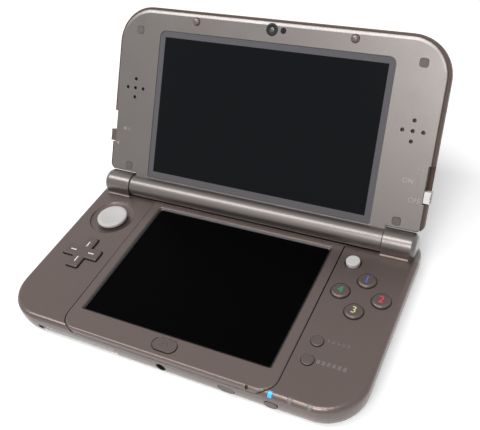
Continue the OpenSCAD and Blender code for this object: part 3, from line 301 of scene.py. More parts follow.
# %% The paint's recipe
PAINT_METALLIC = 0.75
HINGE_METALLIC, HINGE_COAT = 0.9, 1.0
HINGE_TONE = (0.115, 0.100, 0.092, 1)


def metallic_paint(name, colour, metallic=PAINT_METALLIC, roughness=0.31,
                   edge=0.15, coat=0.2, hinge_radius=None, **fixed):
    material, tree, shader = new_material(name, Coat_Roughness=0.28, **fixed)
    place = here(tree)
    flake = use(tree, flakes, Place=place, Size=0.16, Spread=0.16)
    spray = use(tree, clouds, Place=place, Size=26.0, Spread=0.06, Middle=1.0)
    tone = maths(tree, "MULTIPLY", flake["Shade"], spray["Value"])
    if hinge_radius is None:
        shader.inputs["Metallic"].default_value = metallic
        shader.inputs["Coat Weight"].default_value = coat
        body_tint = colour
    else:
        away = hinge_mask(tree, place, hinge_radius)
        body_tint = blend(tree, away, HINGE_TONE, colour + (1.0,))
        for key, far, near in (("Metallic", metallic, HINGE_METALLIC),
                               ("Coat Weight", coat, HINGE_COAT)):
            tree.links.new(
                maths(tree, "MULTIPLY_ADD", away, far - near, near),
                shader.inputs[key])
    painted = add(tree, "ShaderNodeVectorMath",
                  {0: body_tint, "Scale": tone}, operation="SCALE")
    tree.links.new(painted.outputs[0], shader.inputs["Base Color"])
    touched = use(tree, clouds, Place=place, Size=9.0, Spread=0.05,
                  Middle=roughness)
    tree.links.new(touched["Value"], shader.inputs["Roughness"])
    soft = add(tree, "ShaderNodeBevel", {"Radius": edge * MM}, samples=4)
    bump = add(tree, "ShaderNodeBump",
               {"Height": flake["Height"], "Strength": 0.05,
                "Distance": 0.02 * MM, "Normal": soft.outputs[0]})
    tree.links.new(bump.outputs[0], shader.inputs["Normal"])
    return material


print("paint's recipe ready")

# %% [markdown]
# ## Painted light in the paint
# The wall behind the card slot's mouth is painted near white and is not
# metallic there: a painted highlight where the mouth's lip catches the light.
# The sides that slope down to the touch screen's glass are painted a neutral
# dark grey, which is painted shade in that recess. Along the lid frame's far
# edge a painted highlight makes the paint a shade lighter, and a bump turns
# the light over a narrow band. Each is a mask that lays a second colour over
# the paint's own. Roughness and the flakes' bumps stay as they are, so the
# painted light still sits on one moulding.

# %% Painting over a mask
# The first colour below is a painted highlight for the card slot's mouth; the second is painted
# shade for the window's sloping sides.
SLOT_HIGHLIGHT_WHITE = (0.86, 0.84, 0.82, 1)
WINDOW_SHADE_GREY = (0.034, 0.033, 0.035, 1)
WINDOW_Y, WINDOW_HALF_W, WINDOW_HALF_D, WINDOW_LIP = -3.05, 43.15, 32.95, 0.33


def paint_over(material, mask, colour):
    """Lays a second colour over a material's own, where the mask is 1."""
    tree = material.node_tree
    base_colour = tree.nodes["Principled BSDF"].inputs["Base Color"]
    own = base_colour.links[0].from_socket
    tree.links.new(blend(tree, mask, own, colour), base_colour)


def paint_slot_mouth_highlight(material):
    """Paints a near-white highlight, not metallic, behind the card slot's mouth."""
    tree = material.node_tree
    split = split_xyz(tree, here(tree))
    beside = maths(tree, "LESS_THAN", off_from(tree, split[0], SLOT_X * MM),
                   SLOT_HALF * MM)
    behind = maths(tree, "GREATER_THAN", split[1],
                   (FRONT_Y + SLOT_LIP) * MM)
    highlit = maths(tree, "MULTIPLY", beside, behind)
    paint_over(material, highlit, SLOT_HIGHLIGHT_WHITE)
    tree.links.new(maths(tree, "MULTIPLY_ADD", highlit, -PAINT_METALLIC,
                         PAINT_METALLIC),
                   tree.nodes["Principled BSDF"].inputs["Metallic"])


def paint_window_side_shade(material):
    """Paints shade, a neutral dark grey, on the sides that slope down to the glass."""
    tree = material.node_tree
    split = split_xyz(tree, here(tree))
    across = maths(tree, "LESS_THAN", maths(tree, "ABSOLUTE", split[0]),
                   WINDOW_HALF_W * MM)
    along = maths(tree, "LESS_THAN", off_from(tree, split[1], WINDOW_Y * MM),
                  WINDOW_HALF_D * MM)
    below = maths(tree, "LESS_THAN", split[2], (PANEL_TOP - WINDOW_LIP) * MM)
    side = maths(tree, "MULTIPLY", maths(tree, "MULTIPLY", across, along),
                 below)
    paint_over(material, side, WINDOW_SHADE_GREY)


print("two tones ready")

# %% The lid frame's far edge: a painted highlight and a bump
FRAME_HALF, FRAME_FAR, FRAME_CORNER = 76.9, 83.6, 15.9
BAND_W, BAND_DROP, BAND_FROM, BAND_FADE = 1.1, 0.36, 71.0, 12.0
# The band's lighter silver is a painted highlight.
HIGHLIGHT_STEP = 3.0
HIGHLIGHT_SILVER = (0.235, 0.220, 0.213, 1)


def from_frame_edge(tree, split):
    """Millimetres in from the outline, a rectangle with round corners."""
    side = maths(tree, "SUBTRACT", maths(tree, "ABSOLUTE", split[0]),
                 FRAME_HALF - FRAME_CORNER)
    top = maths(tree, "SUBTRACT", split[1], FRAME_FAR - FRAME_CORNER)
    past_side = maths(tree, "MAXIMUM", side, 0.0)
    past_top = maths(tree, "MAXIMUM", top, 0.0)
    reach = maths(tree, "SQRT", maths(
        tree, "ADD", maths(tree, "MULTIPLY", past_side, past_side),
        maths(tree, "MULTIPLY", past_top, past_top)))
    short = maths(tree, "MINIMUM", maths(tree, "MAXIMUM", side, top), 0.0)
    return maths(tree, "SUBTRACT", FRAME_CORNER,
                 maths(tree, "ADD", reach, short))


def paint_frame_edge_highlight(material):
    """Paints a highlight on a narrow band along the far edge and bends the light there with a
    bump.
    """
    tree = material.node_tree
    split = split_xyz(tree, lid_plane(tree))
    near_edge = maths(
        tree, "SUBTRACT", 1.0,
        maths(tree, "DIVIDE", from_frame_edge(tree, split), BAND_W),
        clamp=True)
    far_end = maths(tree, "DIVIDE",
                    maths(tree, "SUBTRACT", split[1], BAND_FROM), BAND_FADE,
                    clamp=True)
    band_mask = maths(tree, "MULTIPLY", near_edge, far_end)
    paint_over(material,
               maths(tree, "MULTIPLY", band_mask, HIGHLIGHT_STEP, clamp=True),
               HIGHLIGHT_SILVER)
    normal = tree.nodes["Principled BSDF"].inputs["Normal"]
    flake_bump = normal.links[0].from_node
    soft = flake_bump.inputs["Normal"].links[0].from_socket
    band = add(tree, "ShaderNodeBump",
               {"Height": maths(tree, "SUBTRACT", 1.0, band_mask),
                "Strength": 1.0, "Distance": BAND_DROP * MM,
                "Normal": soft})
    tree.links.new(band.outputs[0], flake_bump.inputs["Normal"])


print("edge highlight band", BAND_W, "mm wide")

# %% The paints
BROWN_GREY = (0.128, 0.097, 0.088)
WARM_SILVER = (0.153, 0.137, 0.131)
KNUCKLE_EDGE, BARREL_EDGE = 6.1, 5.6
base_paint = metallic_paint("brown_grey_paint", BROWN_GREY, edge=0.4,
                            hinge_radius=KNUCKLE_EDGE)
port_paint = metallic_paint("port_wall_paint", BROWN_GREY, edge=0.03)
# Painted highlight in the card slot's mouth.
paint_slot_mouth_highlight(port_paint)
panel_paint = metallic_paint("panel_paint", (0.134, 0.103, 0.094),
                             edge=0.3)
# Painted shade on the window's sloping sides.
paint_window_side_shade(panel_paint)
lid_paint = metallic_paint("lid_outside_paint", (0.082, 0.052, 0.041),
                           metallic=0.25, roughness=0.50, coat=0.0,
                           Specular_IOR_Level=0.25)
button_paint = metallic_paint("button_paint", (0.110, 0.085, 0.077),
                              roughness=0.40)
# Paler paints for raised signs and words: painted highlights on their edges.
sign_highlight_paint = metallic_paint("sign_highlight_paint", (0.185, 0.162, 0.154))
word_highlight_paint = metallic_paint("word_highlight_paint", (0.29, 0.273, 0.265),
                            metallic=0.2)
cover_paint = metallic_paint("back_cover_paint", (0.190, 0.166, 0.155),
                             roughness=0.30, coat=0.8)
frame_paint = metallic_paint("warm_silver_paint", WARM_SILVER,
                             metallic=0.85, roughness=0.40, edge=0.3,
                             hinge_radius=BARREL_EDGE)
# Painted highlight along the lid frame's far edge.
paint_frame_edge_highlight(frame_paint)
print("paints made")

# %% [markdown]
# ## Moulded plastics and rubber
# The circle pad and the small stick are light grey rubbery plastic, the
# sockets are black, and the feet and the screw covers are dull rubber. The
# lid's round bumpers are a glossier rubber. All share one recipe with a
# grain, and differ in colour, gloss and grain size.


# %% Moulded plastic
def moulded(name, colour, roughness=0.5, grain_size=0.25, bumpiness=0.25,
            spread=0.05, edge=0.12, **fixed):
    material, tree, shader = new_material(name, **fixed)
    place = here(tree)
    uneven = use(tree, clouds, Place=place, Size=6.0, Spread=spread,
                 Middle=1.0)
    tinted = add(tree, "ShaderNodeVectorMath",
                 {0: colour, "Scale": uneven["Value"]}, operation="SCALE")
    tree.links.new(tinted.outputs[0], shader.inputs["Base Color"])
    worn = use(tree, clouds, Place=place, Size=3.5, Spread=0.06,
               Middle=roughness)
    tree.links.new(worn["Value"], shader.inputs["Roughness"])
    height = use(tree, grain, Place=place, Size=grain_size)
    soft = add(tree, "ShaderNodeBevel", {"Radius": edge * MM}, samples=4)
    bump = add(tree, "ShaderNodeBump",
               {"Height": height["Height"], "Strength": bumpiness,
                "Distance": 0.03 * MM, "Normal": soft.outputs[0]})
    tree.links.new(bump.outputs[0], shader.inputs["Normal"])
    return material


pad_grey = moulded("pad_grey", (0.53, 0.515, 0.51), roughness=0.55)
knob_white = moulded("knob_white", (0.72, 0.69, 0.68), roughness=0.6,
                     Specular_IOR_Level=0.2)
black_plastic = moulded("black_plastic", (0.012, 0.012, 0.014))
rubber = moulded("foot_rubber", (0.028, 0.027, 0.027), roughness=0.8,
                 grain_size=0.18, bumpiness=0.5)
bumper_rubber = moulded("bumper_rubber", (0.082, 0.068, 0.064),
                        roughness=0.27, Specular_IOR_Level=0.9)
cover_rubber = moulded("screw_cover_rubber", (0.088, 0.080, 0.076),
                       roughness=0.6)
silicone = moulded("dome_silicone", (0.5, 0.5, 0.47), roughness=0.6)
infrared = moulded("infrared_plastic", (0.010, 0.003, 0.004), roughness=0.35,
                   Specular_IOR_Level=0.2)
battery_wrap = moulded("battery_wrap", (0.05, 0.052, 0.06), roughness=0.4)
board_mask = moulded("board_mask", (0.015, 0.09, 0.045), roughness=0.35)
cable_film = moulded("cable_film", (0.33, 0.16, 0.05), roughness=0.3)
print("plastics and rubbers made")

# %% [markdown]
# ## Print and inlays
# The digits on the face buttons are coloured plastic that shows through the
# button. The direction pad's dashes are near white, a painted highlight where
# its grooves catch the light. The words and signs on the housings stand a
# little proud, in paler paints than the housings' own, which are painted
# highlights on their raised edges, so they need no inlay.

# %% Inlay plastics
def inlay(name, colour):
    return moulded(name, colour, roughness=0.4, grain_size=0.12,
                   bumpiness=0.12, edge=0.03)


digit_finishes = {
    "button_top": inlay("blue_inlay", (0.055, 0.16, 0.72)),
    "button_left": inlay("green_inlay", (0.012, 0.30, 0.10)),
    "button_right": inlay("red_inlay", (0.80, 0.03, 0.075)),
    "button_bottom": inlay("cream_inlay", (0.72, 0.60, 0.34)),
}
# Near white in the pad's grooves: a painted highlight.
dash_highlight_inlay = inlay("dash_highlight_inlay", (0.80, 0.78, 0.76))
print("inlays made")

# %% [markdown]
# ## Steel and gold
# Screws, the card slot's cage and the hinge pins are bright steel with fine
# drawn lines. Noise stretched along one axis makes those lines. The contacts
# in the sockets are plated with gold, with the same lines.

# %% Drawn metal
LINES_PER_METRE = (400.0, 9000.0, 9000.0)


def drawn_metal(name, dark, light, roughness):
    material, tree, shader = new_material(name, Metallic=1.0)
    stretched = add(tree, "ShaderNodeMapping",
                    {"Vector": here(tree), "Scale": LINES_PER_METRE})
    lines = add(tree, "ShaderNodeTexNoise",
                {"Vector": stretched.outputs[0], "Scale": 1.0, "Detail": 2.0})
    tree.links.new(blend(tree, lines.outputs[0], dark + (1,), light + (1,)),
                   shader.inputs["Base Color"])
    tree.links.new(maths(tree, "MULTIPLY_ADD", lines.outputs[0], 0.2,
                         roughness), shader.inputs["Roughness"])
    return material


steel = drawn_metal("brushed_steel", (0.42, 0.42, 0.43), (0.6, 0.6, 0.61),
                    0.22)
gold = drawn_metal("contact_gold", (0.62, 0.40, 0.12), (0.80, 0.56, 0.20),
                   0.18)
print("metals made")

# %% [markdown]
# ## Screens
# Both screens are off. The touch screen is a black film that gives back very
# little light. The upper screen lies under a lens, with a printed grey border
# round a black picture area. The border is a mask measured in the lid's own
# plane, so a Mapping node first turns the lid's face flat.

# %% Touch film
touch_black, tree, shader = new_material(
    "touch_film", Specular_IOR_Level=0.015)
film = use(tree, clouds, Place=here(tree), Size=12.0, Spread=0.06,
           Middle=0.35)
tree.links.new(film["Value"], shader.inputs["Roughness"])
tree.links.new(blend(tree, film["Value"], (0.0004, 0.0004, 0.0005, 1),
                     (0.0008, 0.0008, 0.0009, 1)),
               shader.inputs["Base Color"])
print("film made")

# %% Lens over the upper screen
PICTURE_W, PICTURE_H, PICTURE_S = 106.2, 63.7, 40.6
screen_lens, tree, shader = new_material(
    "screen_lens", Specular_IOR_Level=0.09)


def picture_mask(tree, place, width, height, middle, soft=0.12):
    """1 inside a rectangle on the lid, 0 outside, with a narrow edge."""
    split = split_xyz(tree, place)
    across = maths(tree, "SUBTRACT", width / 2,
                   maths(tree, "ABSOLUTE", split[0]))
    along = maths(tree, "SUBTRACT", height / 2,
                  off_from(tree, split[1], middle))
    nearest = maths(tree, "MINIMUM", across, along)
    return maths(tree, "DIVIDE", nearest, soft, clamp=True)


inside = picture_mask(tree, lid_plane(tree), PICTURE_W, PICTURE_H,
                      PICTURE_S)
border_grey = (0.108, 0.104, 0.112, 1)
picture_black = (0.0030, 0.0036, 0.0050, 1)
tree.links.new(blend(tree, inside, border_grey, picture_black),
               shader.inputs["Base Color"])
smudges = use(tree, clouds, Place=here(tree), Size=18.0, Spread=0.05,
              Middle=0.12)
tree.links.new(smudges["Value"], shader.inputs["Roughness"])
print("screens made")

# %% [markdown]
# ## Camera glass and lamps
# The cameras are black rings round coated glass, which is dark and shines.
# The first of the three lamps at the front is lit blue, so its window glows.
# The other two are off, and their windows have nearly the paint's tone.

# %% Optics
optics = moulded("camera_ring", (0.012, 0.012, 0.013), roughness=0.5,
                 grain_size=0.5, bumpiness=0.05, edge=0.05,
                 Specular_IOR_Level=0.25)
lens_glass, tree, shader = new_material(
    "camera_glass", Specular_IOR_Level=0.5, Coat_Weight=0.5,
    Coat_Roughness=0.10)
coating = use(tree, clouds, Place=here(tree), Size=1.2, Spread=0.3,
              Middle=0.5)
tree.links.new(blend(tree, coating["Value"], (0.050, 0.050, 0.054, 1),
                     (0.080, 0.074, 0.078, 1)), shader.inputs["Base Color"])
tree.links.new(maths(tree, "MULTIPLY", coating["Value"], 0.12),
               shader.inputs["Roughness"])
print("optics made")

# %% Lamp windows
LAST_LIT_X = 51
lamp_plastic, tree, shader = new_material(
    "lamp_windows", Emission_Strength=1.6, Roughness=0.3)
split = split_xyz(tree, here(tree))
first_lamp = maths(tree, "LESS_THAN", split[0], LAST_LIT_X * MM)
mottle = use(tree, clouds, Place=here(tree), Size=0.8, Spread=0.1,
             Middle=0.5)
unlit = blend(tree, mottle["Value"], (0.150, 0.128, 0.119, 1),
              (0.190, 0.165, 0.155, 1))
tree.links.new(blend(tree, first_lamp, unlit, (0.02, 0.20, 0.80, 1)),
               shader.inputs["Base Color"])
tree.links.new(blend(tree, first_lamp, (0.0, 0.0, 0.0, 1),
                     (0.02, 0.28, 1.0, 1)), shader.inputs["Emission Color"])
print("lamps made")

# %% [markdown]
# ## Dressing the CAD nodes
# A CAD node keeps its mesh, and only its material slots change. One table
# says which finish each node gets, so nothing is left with a plain colour.

# %% Finish of each node
finishes = {
    base_paint: ["lower_housing", "face_panel"],
    cover_paint: ["back_cover"],
    port_paint: ["port_walls"],
    panel_paint: ["screen_surround"],
    lid_paint: ["lid_outer_cover"],
    frame_paint: ["lid_inner_frame"],
    button_paint: ["d_pad", "button_top", "button_left", "button_right",
                   "button_bottom", "start_button", "select_button",
                   "home_button", "power_button", "shoulder_l", "shoulder_zl",
                   "shoulder_zr", "shoulder_r", "volume_slider", "stylus"],
    pad_grey: ["circle_pad", "circle_pad_carriage", "c_stick"],
    knob_white: ["depth_slider"],
    black_plastic: ["headphone_jack", "charging_port", "circle_pad_base",
                    "c_stick_base", "speaker_left",
                    "speaker_right", "lower_lcd", "upper_lcd"],
    rubber: ["feet"],
    bumper_rubber: ["bumpers"],
    cover_rubber: ["screw_covers"],
    silicone: ["dome_sheet_left", "dome_sheet_right"],
    infrared: ["ir_window", "ir_led"],
    battery_wrap: ["battery"],
    board_mask: ["mainboard", "lid_board"],
    cable_film: ["display_cable"],
    steel: ["cover_screws", "case_screws", "wifi_module",
            "memory_card_slot", "card_slot", "lcd_tray", "d_pad_pivot",
            "hinge_clutch", "hinge_bushing", "lid_screws"],
    touch_black: ["touch_panel"],
    screen_lens: ["screen_lens"],
    optics: ["inner_camera", "outer_cameras"],
    lamp_plastic: ["led_windows"],
}
dressed = set()
for material, names in finishes.items():
    for name in names:
        cad[name].data.materials.clear()
        cad[name].data.materials.append(material)
        dressed.add(name)
print("nodes without a finish:", sorted(set(cad) - dressed))

# %% [markdown]
# ## Making small pieces
# The marks and trim are thin solids. Each is drawn flat, near the origin and
# in millimetres, by bmesh operators, is then moved to its place, and rides on
# the body that carries it. The mesh holds the place and the object stays at
# the origin, so that patterns on Object coordinates ride along too.


# %% Helpers for pieces
def bar(width, depth, height, soft=0.04):
    """A bar on the ground with softened edges."""
    bm = bmesh.new()
    bmesh.ops.create_cube(bm, size=1.0)
    bmesh.ops.scale(bm, vec=(width, depth, height), verts=bm.verts)
    bmesh.ops.translate(bm, vec=(0, 0, height / 2), verts=bm.verts)
    bmesh.ops.bevel(bm, geom=bm.edges[:], offset=min(soft, height * 0.3),
                    segments=2, profile=0.5, affect="EDGES", material=-1)
    return bm


def slab(points, height, soft=0.03):
    """A flat outline raised to a height, with its top edge softened."""
    bm = bmesh.new()
    face = bm.faces.new([bm.verts.new((x, y, 0)) for x, y in points])
    raised = bmesh.ops.extrude_face_region(bm, geom=[face])["geom"]
    top = [v for v in raised if isinstance(v, bmesh.types.BMVert)]
    bmesh.ops.translate(bm, vec=(0, 0, height), verts=top)
    rim = [e for e in bm.edges if all(v in top for v in e.verts)]
    bmesh.ops.bevel(bm, geom=rim, offset=soft, segments=1, profile=0.5,
                    affect="EDGES", material=-1)
    return bm


def lathe(profile, steps=40):
    """Spins a profile of (radius, height) round the vertical axis."""
    bm = bmesh.new()
    points = [bm.verts.new((r, 0, z)) for r, z in profile]
    edges = [bm.edges.new(pair) for pair in zip(points, points[1:])]
    bmesh.ops.spin(bm, geom=points + edges, cent=(0, 0, 0), axis=(0, 0, 1),
                   angle=math.tau, steps=steps, use_merge=True)
    bmesh.ops.remove_doubles(bm, verts=bm.verts, dist=1e-4)
    return bm


def lettering(words, size, height):
    """Words as a thin solid, centred on the origin."""
    curve = bpy.data.curves.new("lettering", "FONT")
    curve.body, curve.size, curve.extrude = words, size, height / 2
    curve.align_x, curve.align_y = "CENTER", "CENTER"
    drawn = bpy.data.objects.new("lettering", curve)
    mesh = bpy.data.meshes.new_from_object(drawn)
    bm = bmesh.new()
    bm.from_mesh(mesh)
    bmesh.ops.remove_doubles(bm, verts=bm.verts, dist=1e-4)
    bpy.data.objects.remove(drawn)
    bpy.data.curves.remove(curve)
    bpy.data.meshes.remove(mesh)
    return bm


print("shape helpers ready")


# %% Placing pieces
def at(x, y, z, turn=0.0):
    return (Matrix.Translation((x, y, z))
            @ Matrix.Rotation(math.radians(turn), 4, "Z"))


def gather(parts):
    """Joins bmeshes, each with its own placement, into one."""
    whole = bmesh.new()
    for bm, place in parts:
        bm.transform(place)
        scrap = bpy.data.meshes.new("scrap")
        bm.to_mesh(scrap)
        bm.free()
        whole.from_mesh(scrap)
        bpy.data.meshes.remove(scrap)
    return whole


def piece(name, parts, frame_of, body, material, smooth=False):
    """Turns solids in millimetres into a piece that rides on a body."""
    bm = gather(parts)
    bm.transform(frame_of)
    bmesh.ops.recalc_face_normals(bm, faces=bm.faces)
    mesh = bpy.data.meshes.new(name)
    bm.to_mesh(mesh)
    bm.free()
    if smooth:
        mesh.shade_smooth()
    mesh.materials.append(material)
    thing = bpy.data.objects.new(name, mesh)
    bpy.context.scene.collection.objects.link(thing)
    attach(thing, body)
    return thing


print("placing helpers ready")

# %% [markdown]
# ## Marks on the controls
# Each face button carries a plain digit in its own colour. On the real thing
# it is a second plastic that reaches up through the first, level with its
# top. A thin raised solid looks the same and needs no cut in the button. The
# direction pad's dashes lie in grooves that its own mesh already has, and
# their near-white colour is a painted highlight.

# %% Digits on the face buttons
DIGIT_SIZE, DIGIT_HEIGHT = 4.7, 0.06
digits = {"button_top": "1", "button_right": "2", "button_bottom": "3",
          "button_left": "4"}
for button, digit in digits.items():
    place = middle_of(button)
    piece("digit_" + digit, [(lettering(digit, DIGIT_SIZE, DIGIT_HEIGHT),
                              Matrix.Translation(place))],
          TO_BASE, button, digit_finishes[button])
print("digits", sorted(digits.values()))

# %% Painted highlights in the direction pad's grooves
DASH_FROM, DASH_LENGTH, DASH_WIDTH, DASH_DEEP = 3.25, 3.0, 0.58, 0.25
pad_top = middle_of("d_pad")
dashes = []
for quarter in range(4):
    spin = Matrix.Rotation(math.radians(90 * quarter), 4, "Z")
    dashes.append((bar(DASH_LENGTH, DASH_WIDTH, DASH_DEEP - 0.02),
                   Matrix.Translation(pad_top) @ spin
                   @ at(DASH_FROM + DASH_LENGTH / 2, 0, -DASH_DEEP)))
piece("d_pad_dashes", dashes, TO_BASE, "d_pad", dash_highlight_inlay)
print("dashes laid in")

# %% [markdown]
# ## Signs moulded into the housings
# Beside the two small buttons stand rows of signs about two millimetres
# tall, in a paler paint than the housing's, which is a painted highlight on
# their raised edges. They are generic: arrowheads for start and squares for
# select. The lid's two sliders have the words ON and OFF, a bracket that
# shows the travel, and a loudspeaker with its bars, also in a paler paint
# that is a painted highlight.

# %% Signs beside the small buttons
SIGN_RISE, SIGN_SINK = 0.07, 0.03
START_AT, START_PITCH = (58.6, -17.15), 2.0
SELECT_AT, SELECT_PITCH = (58.2, -27.1), 2.05
arrowhead = [(-0.6, -0.95), (0.75, 0), (-0.6, 0.95), (-0.6, 0.55),
             (0.1, 0), (-0.6, -0.55)]
small_square = [(-0.65, -0.85), (0.65, -0.85), (0.65, 0.85), (-0.65, 0.85)]
start_signs = [(slab(arrowhead, SIGN_RISE + SIGN_SINK),
                at(START_AT[0] + START_PITCH * i, START_AT[1],
                   BASE_TOP - SIGN_SINK)) for i in range(5)]
select_signs = [(slab(small_square, SIGN_RISE + SIGN_SINK),
                 at(SELECT_AT[0] + SELECT_PITCH * i, SELECT_AT[1],
                    BASE_TOP - SIGN_SINK)) for i in range(6)]
# The signs' paler paint is a painted highlight.
piece("start_signs", start_signs, TO_BASE, "base", sign_highlight_paint)
piece("select_signs", select_signs, TO_BASE, "base",
      sign_highlight_paint)
print(len(start_signs) + len(select_signs), "signs at", BASE_TOP, "mm")

# %% Ring on the home button and dots by the microphone
home = middle_of("home_button")
ring = [(0.95, -0.03), (0.95, 0.05), (1.0, 0.07), (1.2, 0.07), (1.25, 0.05),
        (1.25, -0.03), (0.95, -0.03)]
piece("home_ring", [(lathe(ring), Matrix.Translation(home))], TO_BASE,
      "home_button", base_paint)
MICROPHONE_AT, DOT_PITCH = (35.2, -42.9), 0.9
dot = [(0, 0.05), (0.16, 0.05), (0.22, 0.0), (0.22, -0.03), (0, -0.03)]
# The dots' paler paint is a painted highlight.
piece("microphone_dots",
      [(lathe(dot, 16), at(MICROPHONE_AT[0] + DOT_PITCH * i,
                           MICROPHONE_AT[1], PANEL_TOP)) for i in range(3)],
      TO_BASE, "base", sign_highlight_paint)
print("ring and dots made")

# %% Words by the depth slider
WORD_SIZE, WORD_HEIGHT, LINE_W, LINE_HEIGHT = 3.0, 0.1, 0.22, 0.08
LINE_LEVEL = LID_TOP - SIGN_SINK
words = [(lettering("ON", WORD_SIZE, WORD_HEIGHT), at(68.5, 26.8, LID_TOP)),
         (lettering("OFF", WORD_SIZE, WORD_HEIGHT), at(72.5, 19.2, LID_TOP))]
bracket = [(bar(2.5, LINE_W, LINE_HEIGHT), at(73.2, 32.1, LINE_LEVEL)),
           (bar(LINE_W, 8.9, LINE_HEIGHT), at(74.4, 27.6, LINE_LEVEL)),
           (bar(LINE_W, 8.9, LINE_HEIGHT), at(72.0, 27.6, LINE_LEVEL))]
# The words' paler paint is a painted highlight.
piece("slider_words", words + bracket, TO_LID, "lid", word_highlight_paint)
print(len(words), "words and a bracket")

# %% Ridge on the depth slider
knob = [TO_LID.inverted() @ vertex.co
        for vertex in cad["depth_slider"].data.vertices]
knob_low, knob_high = ([pick(axis) for axis in zip(*knob)]
                       for pick in (min, max))
RIDGE_LONG, RIDGE_W, RIDGE_IN = 1.9, 0.5, 0.3
RIDGE_RISE, RIDGE_SINK = 0.1, 0.05
piece("depth_slider_ridge",
      [(bar(RIDGE_LONG, RIDGE_W, RIDGE_RISE + RIDGE_SINK),
        at(knob_high[0] - RIDGE_LONG / 2 - RIDGE_IN,
           (knob_low[1] + knob_high[1]) / 2, knob_high[2] - RIDGE_SINK))],
      TO_LID, "depth_slider", knob_white)
print("slider's knob reaches", round(knob_high[0], 2), "mm to the right")

# %% Signs by the volume slider
loudspeaker = [(-1.1, -0.45), (-0.5, -0.45), (0.3, -1.05), (0.3, 1.05),
               (-0.5, 0.45), (-1.1, 0.45)]
volume_signs = [(slab(loudspeaker, WORD_HEIGHT), at(-70.6, 27.1, LINE_LEVEL)),
                (slab(loudspeaker, WORD_HEIGHT), at(-74.0, 19.5, LINE_LEVEL))]
SOUND_X, SOUND_PITCH, SHORTEST, GROWTH = -69.6, 0.75, 0.9, 0.7
for i in range(3):
    volume_signs.append((bar(LINE_W, SHORTEST + GROWTH * i, WORD_HEIGHT),
                         at(SOUND_X + SOUND_PITCH * i, 27.1, LINE_LEVEL)))
# The signs' paler paint is a painted highlight.
piece("volume_signs", volume_signs, TO_LID, "lid", word_highlight_paint)
print(len(volume_signs), "volume signs")

# %% [markdown]
# ## Camera glass
# Each camera is a black ring with a small dome of coated glass. The black
# rings are CAD nodes. The domes are spun from a short arc, and the two outer
# cameras also have a thin steel bezel each.


# %% Domes of glass
def dome(radius, rise):
    """A shallow cap with a short wall, closed underneath."""
    arc = [(radius * math.sin(math.radians(a)),
            rise * math.cos(math.radians(a))) for a in range(0, 91, 15)]
    return lathe(arc + [(radius, -0.15), (0, -0.15)], 32)


CAMERA_S, INNER_GLASS_N = 80.7, 0.35
piece("inner_camera_glass",
      [(dome(1.15, 0.42), at(0, CAMERA_S, INNER_GLASS_N))],
      TO_LID, "lid", lens_glass, smooth=True)
OUTER_X, OUTER_S, OUTER_N = 17.5, CAMERA_S - 5, -6.70
flip = Matrix.Rotation(math.pi, 4, "X")
outer_glass, outer_rings = [], []
bezel = [(1.75, -0.1), (1.75, 0.12), (1.85, 0.2), (2.3, 0.2), (2.45, 0.08),
         (2.45, -0.1), (1.75, -0.1)]
for x in (-OUTER_X, OUTER_X):
    seat = at(x, OUTER_S, OUTER_N) @ flip
    outer_glass.append((dome(1.6, 0.4), seat))
    outer_rings.append((lathe(bezel), seat))
piece("outer_camera_glass", outer_glass, TO_LID, "lid", lens_glass,
      smooth=True)
piece("outer_camera_rings", outer_rings, TO_LID, "lid", steel)
print("camera glass made")

# %% [markdown]
# ## Contacts in the sockets
# Look into the sockets and the first thing that shines is gold. The card
# slot has a row of springs near its back, and the charging socket has
# contacts on its tongue. Both are rows of thin bars.

# %% Gold contacts
SPRINGS, SPRING_PITCH, SPRING_IN = 17, 1.9, 25.5
slot_springs = [(bar(0.9, 5.0, 0.15),
                 at(SLOT_X + SPRING_PITCH * (i - (SPRINGS - 1) / 2),
                    FRONT_Y + SPRING_IN, SLOT_FLOOR)) for i in range(SPRINGS)]
piece("card_contacts", slot_springs, TO_BASE, "base", gold)
BARS, BAR_PITCH, BAR_IN = 6, 1.4, 7.75
CHARGE_X, TONGUE_TOP = -12.0, 6.08
tongue_bars = [(bar(0.7, 1.3, 0.12),
                at(CHARGE_X + BAR_PITCH * (i - (BARS - 1) / 2),
                   REAR_Y - BAR_IN, TONGUE_TOP)) for i in range(BARS)]
piece("charging_contacts", tongue_bars, TO_BASE, "base", gold)
print(len(slot_springs) + len(tongue_bars), "contacts")

# %% Blank label under the back cover
LABEL_W, LABEL_D, LABEL_THICK, LABEL_SINK, LABEL_Y = 46.0, 17.0, 0.06, 0.04, 6
label_paper = moulded("label_film", (0.40, 0.40, 0.395), roughness=0.45,
                      grain_size=0.4, bumpiness=0.1, edge=0.02)
label = bmesh.new()
bmesh.ops.create_grid(label, x_segments=1, y_segments=1, size=0.5)
bmesh.ops.scale(label, vec=(LABEL_W, LABEL_D, 1), verts=label.verts)
bmesh.ops.bevel(label, geom=label.verts[:], offset=1.5, segments=5,
                profile=0.5, affect="VERTICES", material=-1)
sheet_top = bmesh.ops.extrude_face_region(label, geom=label.faces[:])["geom"]
bmesh.ops.translate(label, vec=(0, 0, LABEL_THICK), verts=[
    v for v in sheet_top if isinstance(v, bmesh.types.BMVert)])
piece("blank_label", [(label, at(0, LABEL_Y, COVER_LOW - LABEL_SINK))],
      TO_BASE, "base", label_paper)
print("label", LABEL_W, "x", LABEL_D, "mm")

# %% [markdown]
# ## Light
# The console stands on a white table in a bright room. The world gives an
# even light and looks white in mirror-like surfaces. A long panel hangs
# above, a little to the front and the left, and makes the shine along the
# hinge barrel. A smaller one stands in front of the console and brightens the
# lid's face and the front edges. The table glows a little for the camera, so
# that it is white but still takes a shadow.

